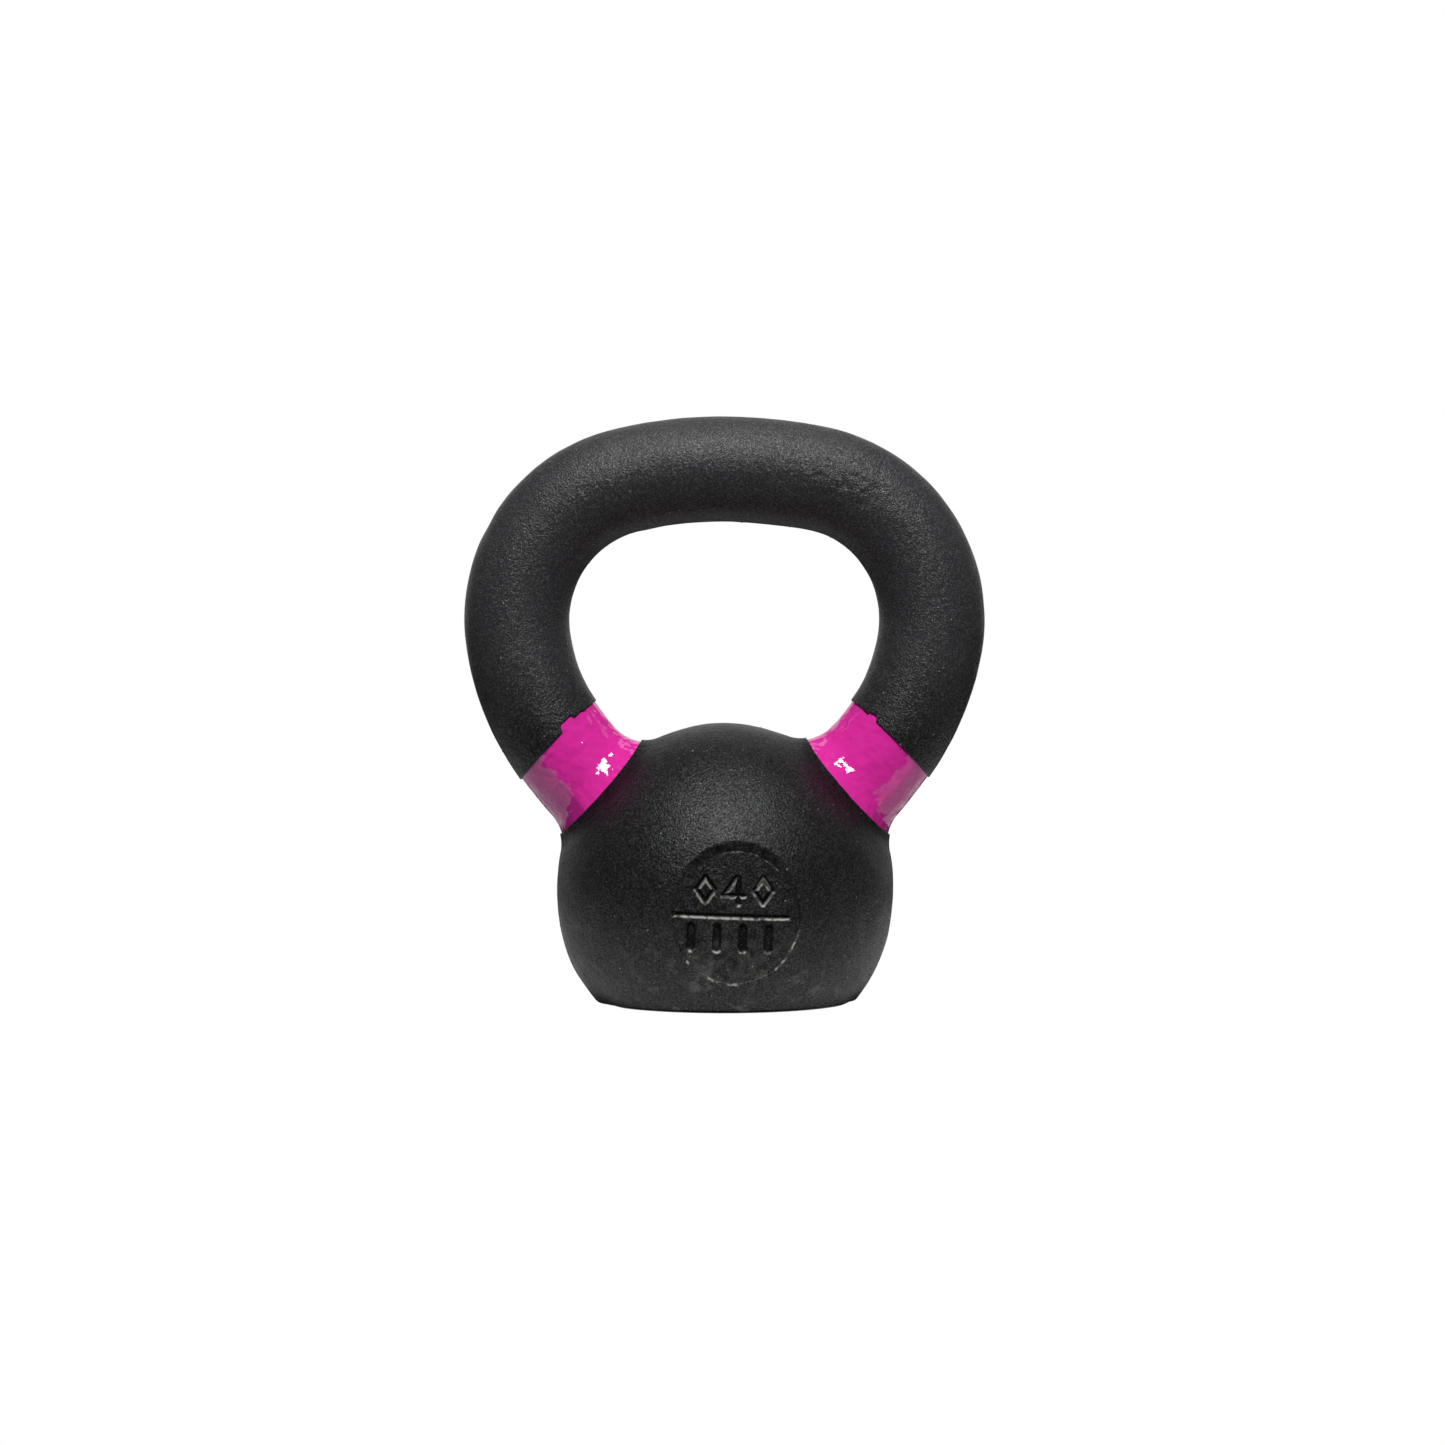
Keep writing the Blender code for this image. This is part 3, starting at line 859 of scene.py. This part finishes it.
def round_face(shell, spacings, depth, flip):
    """Adds the round face, and gives its loops at both horns and at the base."""
    own = ball_directions(spacings)
    base_loop = math.sin(CORNER_POLAR) * BASE_ROUND + (0, 0, math.cos(CORNER_POLAR))
    directions = np.concatenate((
        own, BALL_CONTACT * (-1, 1, 1), BALL_CONTACT * (1, 1, 1), base_loop))
    sunk, u, v, inside = plaque(directions * BALL_RADIUS)
    facing = directions @ OUTWARD > 0
    if depth == 0:
        marks, bare, cavity = (value * facing for value in plaque_marks(u, v, inside))
        room = np.minimum(horn_room(directions, -1), horn_room(directions, 1))
        # Painted shade in the corner beside each band.
        cavity = np.maximum(cavity, CORNER_SHADE * smooth(CORNER_SPREAD, 0.0, room))
        named = {"bare": bare, "cavity": cavity, "outside": marks == 0}
    else:
        marks = MARK_FLOOR * (inside > 0) * facing
        named = {}
    points = cast(directions * BALL_RADIUS, directions, depth)
    numbers = shell.add(points - OUTWARD * (sunk + marks)[:, None], **named)
    left = np.arange(COLUMNS) + len(own)
    right = left + COLUMNS
    shell.triangles(numbers[fill(south_view(directions), [left, right])], flip)
    return numbers[left], numbers[right], numbers[-BASE_COLUMNS:]


# %% The horns' fillets below the bands
def horn_rows(shell, contact, side, depth, steps, sinks, count):
    """Adds loops from the ball up to a band's lower edge, with the corner's painted shade, and gives
    their numbers.
    """
    per_length = 1 / (HORN_FILLET * FILLET_ANGLE)
    edge = LOWER_EDGE[side]
    rows = [contact]
    for k in range(1, count):
        share = 1 + (edge + steps[0] * per_length - 1) * k / count
        rows.append(shell.add(fillet_loop(share, depth, side), cavity=CORNER_SHADE))
    for step, sink in zip(steps, sinks):
        loop = fillet_loop(edge + step * per_length, depth + sink, side)
        rows.append(shell.add(loop, cavity=CORNER_SHADE))
    return rows


# %% The flat base
CORNER_STEPS = 6                 # loops round the base's rounded edge
BASE_SPACING = 0.0022
BASE_MARGIN = 0.001              # kept free inside the last of those loops


def base_face(shell, corner, depth, flip):
    """Adds the rounded edge of the base, and its flat disc."""
    rows = [corner]
    for polar in np.linspace(CORNER_POLAR, math.pi, CORNER_STEPS + 1)[1:]:
        normal = math.sin(polar) * BASE_ROUND + (0, 0, math.cos(polar))
        place = CORNER_REACH * BASE_ROUND + (0, 0, -BOTTOM) + BASE_CORNER * normal
        rows.append(shell.add(cast(place, normal, depth)))
    shell.join(rows, not flip)
    disc = spiral(BASE_SPACING, math.pi / 2)[:, :2] * CORNER_REACH
    disc = disc[np.hypot(*disc.T) < CORNER_REACH - BASE_MARGIN]
    floor = shell.add(np.column_stack((disc, np.full(len(disc), depth - BALL_HEIGHT))))
    flat = np.concatenate((disc, CORNER_REACH * BASE_ROUND[:, :2]))
    faces = np.concatenate((floor, rows[-1]))[fill(flat, [])]
    shell.triangles(faces, not flip)


# %% The whole ball coat
# Spacings of the points on the ball, on the plaque and at the plaque's edges,
# and how many steps lead up each fillet.
OUTER_SPACINGS = (0.00075, 0.00036, 0.00018)
INNER_SPACINGS = (0.0018, 0.0009, 0.0009)
OUTER_ROWS = 10
INNER_ROWS = 4


def coat_face(shell, spacings, depth, steps, sinks, count, flip):
    """Adds one face of the coat, and gives the two loops beside the bands."""
    left, right, corner = round_face(shell, spacings, depth, flip)
    ends = []
    for side, contact in ((-1, left), (1, right)):
        rows = horn_rows(shell, contact, side, depth, steps, sinks, count)
        shell.join(rows, (side > 0) != flip)
        ends.append(rows[-1])
    base_face(shell, corner, depth, flip)
    return ends


def make_ball_coat():
    """The black coat on the ball, the lower horns and the base."""
    shell = Shell()
    outer = coat_face(shell, OUTER_SPACINGS, 0, EDGE_STEPS, EDGE_SINK, OUTER_ROWS, False)
    inner = coat_face(
        shell, INNER_SPACINGS, COAT_THICKNESS, EDGE_STEPS[-1:], [0], INNER_ROWS, True)
    shell.join([outer[0], inner[0]])
    shell.join([inner[1], outer[1]])
    return shell.piece("ball_black_coat")


ball_coat = make_ball_coat()
dress(ball_coat, ["ball_coat", "base_coat"])

# %% [markdown]
# ## Materials
#
# Every finish is made of nodes that read the piece's own coordinates, so that
# it stays on the object from every side. One helper adds a node; another turns
# an sRGB hex colour into the linear values that the renderer needs.

# %% Node helpers
def add(tree, kind, sockets=None, **settings):
    """One node, with its settings, and values or links for its sockets."""
    made = tree.nodes.new(kind)
    for name, value in settings.items():
        setattr(made, name, value)
    for name, value in (sockets or {}).items():
        if isinstance(value, bpy.types.NodeSocket):
            tree.links.new(value, made.inputs[name])
        else:
            made.inputs[name].default_value = value
    return made


def srgb(code):
    """A hex colour as linear red, green, blue and a full alpha."""
    values = [int(code[k:k + 2], 16) / 255 for k in (0, 2, 4)]
    return [v / 12.92 if v <= 0.04045 else ((v + 0.055) / 1.055) ** 2.4 for v in values] + [1]


def start_material(name):
    """An empty material: its tree, main shader, and places in millimetres."""
    made = bpy.data.materials.new(name)
    made.use_nodes = True
    tree = made.node_tree
    tree.nodes.clear()
    shader = add(tree, "ShaderNodeBsdfPrincipled")
    add(tree, "ShaderNodeOutputMaterial", {"Surface": shader.outputs[0]})
    place = add(tree, "ShaderNodeTexCoord").outputs["Object"]
    scaled = add(tree, "ShaderNodeVectorMath", {
        0: place, 1: (1000, 1000, 1000)}, operation="MULTIPLY")
    return made, tree, shader, scaled.outputs[0]


# %% [markdown]
# ### Black coat
#
# This is a stoved black powder coat over shot-blasted iron. The pigment is
# nearly black. The film follows the blasted iron in a fine sandpaper grain that
# glitters, and slow clouds of thicker and thinner film change its gloss. Its
# foot is scuffed, and dust sits on it as pale specks. Painted light is laid in
# too: from the ball's top up the coat is paler, partly chalk where hands hold it
# and partly painted light; the grain's crests are paler with a painted glint;
# and hollows and the corners beside the bands get painted shade. A scanned
# picture could show all this, but it would need a flat layout and have seams,
# so noise with sizes in millimetres is used. The real grain is too fine to
# show, so it is drawn half a millimetre wide.

# %% Patterns in the black coat
CLOUD_SIZE = 9                   # sizes are in millimetres
GRAIN_SIZE = 0.5                 # coarser than the real grain, so that it shows
LUMP_SIZE = 1.7
SMEAR_SIZE = 5
DUST_SPACING = 2.8
DUST_RADIUS = 0.085              # of the largest speck, as a share of the spacing


def coat_patterns(tree, place):
    """The sockets that the coat's colour, gloss and relief share."""
    cloud = add(tree, "ShaderNodeTexNoise", {
        "Vector": place, "Scale": 1 / CLOUD_SIZE, "Detail": 3.0})
    grain = add(tree, "ShaderNodeTexNoise", {
        "Vector": place, "Scale": 1 / GRAIN_SIZE, "Detail": 2.0, "Roughness": 0.6})
    lump = add(tree, "ShaderNodeTexNoise", {
        "Vector": place, "Scale": 1 / LUMP_SIZE, "Detail": 2.0})
    smear = add(tree, "ShaderNodeTexNoise", {
        "Vector": place, "Scale": 1 / SMEAR_SIZE, "Detail": 4.0, "Roughness": 0.7})
    specks = add(tree, "ShaderNodeTexVoronoi", {
        "Vector": place, "Scale": 1 / DUST_SPACING, "Randomness": 1.0})
    speck_size = add(tree, "ShaderNodeMath", {
        0: specks.outputs["Color"], 1: DUST_RADIUS}, operation="MULTIPLY")
    speck = add(tree, "ShaderNodeMath", {
        0: specks.outputs["Distance"], 1: speck_size.outputs[0]}, operation="LESS_THAN")
    return {
        "cloud": cloud.outputs["Fac"], "grain": grain.outputs["Fac"],
        "lump": lump.outputs["Fac"], "smear": smear.outputs["Fac"],
        "speck": speck.outputs[0],
        "bare": add(tree, "ShaderNodeAttribute", attribute_name="bare").outputs["Fac"],
        "cavity": add(tree, "ShaderNodeAttribute", attribute_name="cavity").outputs["Fac"],
        "height": add(tree, "ShaderNodeSeparateXYZ", {0: place}).outputs["Z"],
    }


# %% Colour of the black coat
# Heights in millimetres: above the first pair the coat is paler, partly chalk where
# hands hold it and partly painted light, the grain comes out from under the foot's
# wear between the second, and the scuffs grow strong from the third pair's upper
# height down to its lower one.
HELD_AND_LIT = (72, 96)
GRAINY = (12, 34)
SCUFFED = (30, 8)


def coat_colour(tree, seen):
    """Clouded black film with layers of wear, grain, dust, painted shade and painted light over it."""
    clouded = add(tree, "ShaderNodeMix", {
        "Factor": seen["cloud"], 6: srgb("080809"), 7: srgb("101112")}, data_type="RGBA")
    held_and_lit = add(tree, "ShaderNodeMapRange", {
        "Value": seen["height"], "From Min": HELD_AND_LIT[0], "From Max": HELD_AND_LIT[1]})
    grainy = add(tree, "ShaderNodeMapRange", {
        "Value": seen["height"], "From Min": GRAINY[0], "From Max": GRAINY[1],
        "To Min": 0.45, "To Max": 1.0})
    # Crests are muted near the foot's wear and in the painted shade.
    rubbed = add(tree, "ShaderNodeMapRange", {
        "Value": seen["cavity"], "To Min": grainy.outputs[0], "To Max": 0.45})
    # The grain's crests are paler: grain tone, with a painted glint in place of their sparkle.
    peak = add(tree, "ShaderNodeMapRange", {
        "Value": seen["grain"], "From Min": 0.52, "From Max": 0.68, "To Max": rubbed.outputs[0]})
    crest = add(tree, "ShaderNodeMix", {
        "Factor": held_and_lit.outputs[0], 6: srgb("303131"), 7: srgb("4a4a4b")}, data_type="RGBA")
    foot = add(tree, "ShaderNodeMapRange", {
        "Value": seen["height"], "From Min": SCUFFED[0], "From Max": SCUFFED[1], "To Max": 0.7})
    scuff = add(tree, "ShaderNodeMapRange", {
        "Value": seen["smear"], "From Min": 0.54, "From Max": 0.68, "To Max": foot.outputs[0]})

    tint = clouded.outputs[2]
    for share, colour in (
            (held_and_lit.outputs[0], srgb("2c2c2e")),       # paler from 72 mm up: chalk where hands hold it, and painted light
            (seen["cavity"], srgb("050505")),        # painted shade in hollows and beside the bands, with blotches
            (peak.outputs[0], crest.outputs[2]),     # paler crests of the grain: grain tone with a painted glint
            (scuff.outputs[0], srgb("4c4c4a")),      # scuffed near the foot
            (seen["speck"], srgb("8c8d8b")),         # dust
            (seen["bare"], srgb("a3a39c"))):         # rubbed through to the iron, painted glints on lit edges, and dust
        layer = add(tree, "ShaderNodeMix", {
            "Factor": share, 6: tint, 7: colour}, data_type="RGBA")
        tint = layer.outputs[2]
    return tint


# %% Gloss and relief of the black coat
GRAIN_RELIEF = 0.00027           # metres
LUMP_RELIEF = 0.00022


def coat_glint(tree, seen):
    """Grain peaks that mirror more than the film between them, and painted shade that dulls the mirror
    in hollows and beside the bands.
    """
    glitter = add(tree, "ShaderNodeMapRange", {
        "Value": seen["grain"], "From Min": 0.36, "From Max": 0.66, "To Min": 0.14, "To Max": 0.52})
    glint = add(tree, "ShaderNodeMapRange", {
        "Value": seen["cavity"], "To Min": glitter.outputs[0], "To Max": 0.03})
    return glint.outputs[0]


def coat_relief(tree, seen):
    """The grain, standing on lumps that are a few times wider."""
    fine = add(tree, "ShaderNodeBump", {
        "Height": seen["grain"], "Strength": 1.0, "Distance": GRAIN_RELIEF})
    broad = add(tree, "ShaderNodeBump", {
        "Height": seen["lump"], "Normal": fine.outputs[0], "Strength": 1.0,
        "Distance": LUMP_RELIEF})
    return broad.outputs[0]


def coat_material():
    """Textured black coat on cast iron."""
    made, tree, shader, place = start_material("black_coat_on_iron")
    seen = coat_patterns(tree, place)
    gloss = add(tree, "ShaderNodeMapRange", {
        "Value": seen["cloud"], "From Min": 0.3, "From Max": 0.7, "To Min": 0.35, "To Max": 0.42})
    tree.links.new(coat_colour(tree, seen), shader.inputs["Base Color"])
    tree.links.new(gloss.outputs[0], shader.inputs["Roughness"])
    tree.links.new(coat_relief(tree, seen), shader.inputs["Normal"])
    tree.links.new(coat_glint(tree, seen), shader.inputs["Specular IOR Level"])
    return made


# %% [markdown]
# ### Magenta enamel
#
# The bands are gloss enamel, brushed on thick: strong pigment under its own
# clear skin. The eye sees a sharp mirror that is broken by slow sags, and a
# duller pink where the brush left little. A clear coat over a rough base could
# give the mirror too, but this skin and its pigment are one film, so one layer
# with a low roughness is enough. Its IOR is a little above a resin's usual 1.5.

# %% Magenta enamel
SAG_SIZE = 3.2                   # millimetres
SAG_RELIEF = 0.00062             # metres
TINT_SIZE = 4
ENAMEL_ROUGHNESS = 0.04
ENAMEL_IOR = 1.58


def paint_material():
    """Thick gloss enamel."""
    made, tree, shader, place = start_material("magenta_gloss_enamel")
    cloud = add(tree, "ShaderNodeTexNoise", {
        "Vector": place, "Scale": 1 / TINT_SIZE, "Detail": 2.0})
    sag = add(tree, "ShaderNodeTexNoise", {
        "Vector": place, "Scale": 1 / SAG_SIZE, "Detail": 1.5, "Roughness": 0.45})
    thin = add(tree, "ShaderNodeAttribute", attribute_name="thin").outputs["Fac"]
    tint = add(tree, "ShaderNodeMix", {
        "Factor": cloud.outputs["Fac"], 6: srgb("d22796"), 7: srgb("dc2f9c")}, data_type="RGBA")
    layered = add(tree, "ShaderNodeMix", {
        "Factor": thin, 6: tint.outputs[2], 7: srgb("ae2480")}, data_type="RGBA")
    bump = add(tree, "ShaderNodeBump", {
        "Height": sag.outputs["Fac"], "Strength": 1.0, "Distance": SAG_RELIEF})
    tree.links.new(layered.outputs[2], shader.inputs["Base Color"])
    tree.links.new(bump.outputs[0], shader.inputs["Normal"])
    shader.inputs["Roughness"].default_value = ENAMEL_ROUGHNESS
    shader.inputs["IOR"].default_value = ENAMEL_IOR
    return made


# %% [markdown]
# ### Cast iron
#
# The casting is shot-blasted grey iron. It lies under the coat and the paint and
# barely shows, so it could be left plain. It still gets its own finish, because
# the casting is a piece of its own and may be seen alone: grey, rough and
# metallic, with a grain of 0.8 mm, coarser than the real one so that it shows.

# %% Cast iron
IRON_GRAIN = 0.8                 # millimetres


def iron_material():
    """Shot-blasted grey cast iron."""
    made, tree, shader, place = start_material("grey_cast_iron")
    grain = add(tree, "ShaderNodeTexNoise", {
        "Vector": place, "Scale": 1 / IRON_GRAIN, "Detail": 3.0})
    tint = add(tree, "ShaderNodeMix", {
        "Factor": grain.outputs["Fac"], 6: srgb("4a4744"), 7: srgb("6b6864")}, data_type="RGBA")
    bump = add(tree, "ShaderNodeBump", {
        "Height": grain.outputs["Fac"], "Strength": 0.8, "Distance": 0.0002})
    tree.links.new(tint.outputs[2], shader.inputs["Base Color"])
    tree.links.new(bump.outputs[0], shader.inputs["Normal"])
    shader.inputs["Metallic"].default_value = 0.8
    shader.inputs["Roughness"].default_value = 0.6
    return made


# %% Put the finishes on
black_coat = coat_material()
enamel = paint_material()
iron = iron_material()
for piece, finish in (
        (handle_coat, black_coat), (ball_coat, black_coat), (left_band, enamel),
        (right_band, enamel), (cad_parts["iron_casting"], iron)):
    piece.data.materials.clear()
    piece.data.materials.append(finish)

# %% [markdown]
# ## Grit under the coat
#
# Sand that stayed on the casting shows as small nibs, because the coat runs over
# each grain. They could be drawn as bump, but a nib also breaks the outline, so
# these are real shapes. Placing hundreds by hand would be slow, so a small tree
# of Geometry Nodes scatters flattened grains over the outer faces of each coat.
# They are drawn slightly coarser than real ones, so that they show.

# %% Node tree that scatters nibs
# Sizes are half widths in metres; flatness is a nib's height as a share of its width.
NIBS = {
    "Per Square Metre": 9000.0, "Smallest": 0.00010, "Largest": 0.00032, "Flatness": 0.5,
    "Seed": 7, "Finish": black_coat,
}
NIB_FACES = 20                  # faces of one nib


def nib_tree():
    """Flattened grains on the faces that a coat marks as outside."""
    tree = bpy.data.node_groups.new("grit_nibs", "GeometryNodeTree")
    for name, kind in (
            ("Coat", "Geometry"), ("Per Square Metre", "Float"), ("Smallest", "Float"),
            ("Largest", "Float"), ("Flatness", "Float"), ("Seed", "Int"), ("Finish", "Material")):
        tree.interface.new_socket(name, in_out="INPUT", socket_type="NodeSocket" + kind)
    tree.interface.new_socket("Nibs", in_out="OUTPUT", socket_type="NodeSocketGeometry")
    given = add(tree, "NodeGroupInput").outputs
    outside = add(tree, "GeometryNodeInputNamedAttribute", {"Name": "outside"}, data_type="FLOAT")
    density = add(tree, "ShaderNodeMath", {
        0: outside.outputs["Attribute"], 1: given["Per Square Metre"]}, operation="MULTIPLY")
    scatter = add(tree, "GeometryNodeDistributePointsOnFaces", {
        "Mesh": given["Coat"], "Density": density.outputs[0], "Seed": given["Seed"]})
    grain = add(tree, "GeometryNodeMeshIcoSphere", {"Radius": 1.0, "Subdivisions": 1})
    size = add(tree, "FunctionNodeRandomValue", {
        2: given["Smallest"], 3: given["Largest"], "Seed": given["Seed"]}, data_type="FLOAT")
    low = add(tree, "ShaderNodeMath", {0: size.outputs[1], 1: given["Flatness"]}, operation="MULTIPLY")
    scale = add(tree, "ShaderNodeCombineXYZ", {
        "X": size.outputs[1], "Y": size.outputs[1], "Z": low.outputs[0]})
    placed = add(tree, "GeometryNodeInstanceOnPoints", {
        "Points": scatter.outputs["Points"], "Instance": grain.outputs["Mesh"],
        "Rotation": scatter.outputs["Rotation"], "Scale": scale.outputs[0]})
    real = add(tree, "GeometryNodeRealizeInstances", {"Geometry": placed.outputs[0]})
    finished = add(tree, "GeometryNodeSetMaterial", {
        "Geometry": real.outputs[0], "Material": given["Finish"]})
    add(tree, "NodeGroupOutput", {"Nibs": finished.outputs[0]})
    return tree


# %% Scatter them over both coats
def scatter_nibs(tree, coat, name):
    """A plain mesh of the nibs on one coat."""
    made = bpy.data.objects.new(name, coat.data.copy())
    bpy.context.collection.objects.link(made)
    nodes = made.modifiers.new("nibs", "NODES")
    nodes.node_group = tree
    for socket in tree.interface.items_tree:
        if socket.name in NIBS:
            nodes[socket.identifier] = NIBS[socket.name]
    shown = made.evaluated_get(bpy.context.evaluated_depsgraph_get())
    data = bpy.data.meshes.new_from_object(shown)
    made.modifiers.clear()
    made.data = data
    data.polygons.foreach_set("use_smooth", np.ones(len(data.polygons), bool))
    print(name, "has", len(data.polygons) // NIB_FACES, "nibs")
    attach(made, "root")


nibs = nib_tree()
scatter_nibs(nibs, handle_coat, "handle_grit_nibs")
scatter_nibs(nibs, ball_coat, "ball_grit_nibs")

# %% [markdown]
# ## Stage, light and camera
#
# To the camera, the floor and the room are plain white. A white room would also
# light a black coat from every side and wash its shape out, so what lights the
# object is different: a dark bench with two pale cards under it, a room that is
# bright only at the back, and four lamps. The front card is narrow, so the dark
# bench beside it is a painted shadow of the kettlebell, seen in its reflections.
# The main lamp stands above the camera and gives the paint its broken highlights.

# %% Places on a card
def on_card(tree, middle, half):
    """Whether a place on the floor lies on a card, as a node socket."""
    place = add(tree, "ShaderNodeTexCoord").outputs["Object"]
    away = add(tree, "ShaderNodeVectorMath", {0: place, 1: middle}, operation="SUBTRACT")
    scaled = add(tree, "ShaderNodeVectorMath", {0: away.outputs[0], 1: half}, operation="DIVIDE")
    spread = add(tree, "ShaderNodeVectorMath", {0: scaled.outputs[0]}, operation="ABSOLUTE")
    sides = add(tree, "ShaderNodeSeparateXYZ", {0: spread.outputs[0]}).outputs
    furthest = add(tree, "ShaderNodeMath", {0: sides[0], 1: sides[1]}, operation="MAXIMUM")
    inside = add(tree, "ShaderNodeMath", {0: furthest.outputs[0], 1: 1.0}, operation="LESS_THAN")
    return inside.outputs[0]


# %% Floor
FLOOR_SIZE = 12
BENCH_AND_SHADOW = "2a2a2a"
# Middle, half size and colour of each card. The front card is narrow, so the
# dark bench beside it is a painted shadow of the kettlebell.
CARDS = (((0, 0.06, 0), (0.20, 0.16, 1), "dadada"), ((0, -0.035, 0), (0.042, 0.06, 1), "fafafa"))
CLOSE = 0.001                    # a face this near the floor is seen through it


def make_floor():
    """A floor that is white to the camera and that a view from below looks through."""
    bpy.ops.mesh.primitive_plane_add(size=FLOOR_SIZE)
    floor = bpy.context.object
    floor.name = "floor"
    made = bpy.data.materials.new("white_floor")
    made.use_nodes = True
    tree = made.node_tree
    tree.nodes.clear()
    tint = srgb(BENCH_AND_SHADOW)
    for middle, half, colour in CARDS:
        card = add(tree, "ShaderNodeMix", {
            "Factor": on_card(tree, middle, half), 6: tint, 7: srgb(colour)}, data_type="RGBA")
        tint = card.outputs[2]
    bench_and_shadow = add(tree, "ShaderNodeBsdfDiffuse", {"Color": tint})
    white = add(tree, "ShaderNodeEmission", {"Color": srgb("ffffff"), "Strength": 1.0})
    clear = add(tree, "ShaderNodeBsdfTransparent")
    rays = add(tree, "ShaderNodeLightPath")
    side = add(tree, "ShaderNodeNewGeometry")
    seen = add(tree, "ShaderNodeMixShader", {
        0: rays.outputs["Is Camera Ray"], 1: bench_and_shadow.outputs[0], 2: white.outputs[0]})
    close = add(tree, "ShaderNodeMath", {
        0: rays.outputs["Ray Length"], 1: CLOSE}, operation="LESS_THAN")
    through = add(tree, "ShaderNodeMath", {
        0: side.outputs["Backfacing"], 1: close.outputs[0]}, operation="MAXIMUM")
    above = add(tree, "ShaderNodeMixShader", {
        0: through.outputs[0], 1: seen.outputs[0], 2: clear.outputs[0]})
    add(tree, "ShaderNodeOutputMaterial", {"Surface": above.outputs[0]})
    floor.data.materials.append(made)


make_floor()


# %% Lamps
AIM = Vector((0, 0, 0.07))       # the kettlebell's middle

# Name, place, size in metres and power in watts of each lamp.
LAMPS = (
    ("key", (0.03, -0.72, 1.0), (0.56, 0.50), 17),
    ("top", (0, 0.35, 1.4), (1.2, 0.8), 3.8),
    ("left", (-0.9, 0.30, 0.55), (0.35, 0.7), 0.45),
    ("right", (0.9, 0.30, 0.55), (0.35, 0.7), 0.5),
)


def soft_box(name, place, size, power):
    """A rectangular lamp that faces the kettlebell's middle."""
    lamp = bpy.data.lights.new(name, "AREA")
    lamp.shape = "RECTANGLE"
    lamp.size, lamp.size_y = size
    lamp.energy = power
    made = bpy.data.objects.new(name, lamp)
    bpy.context.collection.objects.link(made)
    made.location = place
    aim = AIM - made.location
    made.rotation_euler = aim.to_track_quat("-Z", "Y").to_euler()


for lamp in LAMPS:
    soft_box(*lamp)
print(len(LAMPS), "lamps")


# %% Room
BACK_WALL = (0.70, 0.85)         # directions in which the room turns bright
ROOM_LIGHT = (0.03, 0.8)         # in front, and at the back


def white_room():
    """World light: white for the camera, bright behind and dim in front."""
    world = bpy.data.worlds.new("white_room")
    bpy.context.scene.world = world
    world.use_nodes = True
    tree = world.node_tree
    tree.nodes.clear()
    toward = add(tree, "ShaderNodeTexCoord").outputs["Generated"]
    depth = add(tree, "ShaderNodeSeparateXYZ", {0: toward}).outputs["Y"]
    strength = add(tree, "ShaderNodeMapRange", {
        "Value": depth, "From Min": BACK_WALL[0], "From Max": BACK_WALL[1],
        "To Min": ROOM_LIGHT[0], "To Max": ROOM_LIGHT[1]})
    lit = add(tree, "ShaderNodeBackground", {
        "Color": srgb("ffffff"), "Strength": strength.outputs[0]})
    seen = add(tree, "ShaderNodeBackground", {"Color": srgb("ffffff"), "Strength": 1.0})
    rays = add(tree, "ShaderNodeLightPath")
    both = add(tree, "ShaderNodeMixShader", {
        0: rays.outputs["Is Camera Ray"], 1: lit.outputs[0], 2: seen.outputs[0]})
    add(tree, "ShaderNodeOutputWorld", {"Surface": both.outputs[0]})


white_room()
bpy.context.scene.view_settings.view_transform = "Standard"

# %% Camera
CAMERA_PLACE = (-0.00045, -0.7558, 0.0781)
view = bpy.data.cameras.new("camera")
view.sensor_width = 36
view.lens = 66.77
camera = bpy.data.objects.new("camera", view)
bpy.context.collection.objects.link(camera)
camera.location = CAMERA_PLACE
camera.rotation_euler = (math.pi / 2, 0, 0)
bpy.context.scene.camera = camera
print("camera at", CAMERA_PLACE)
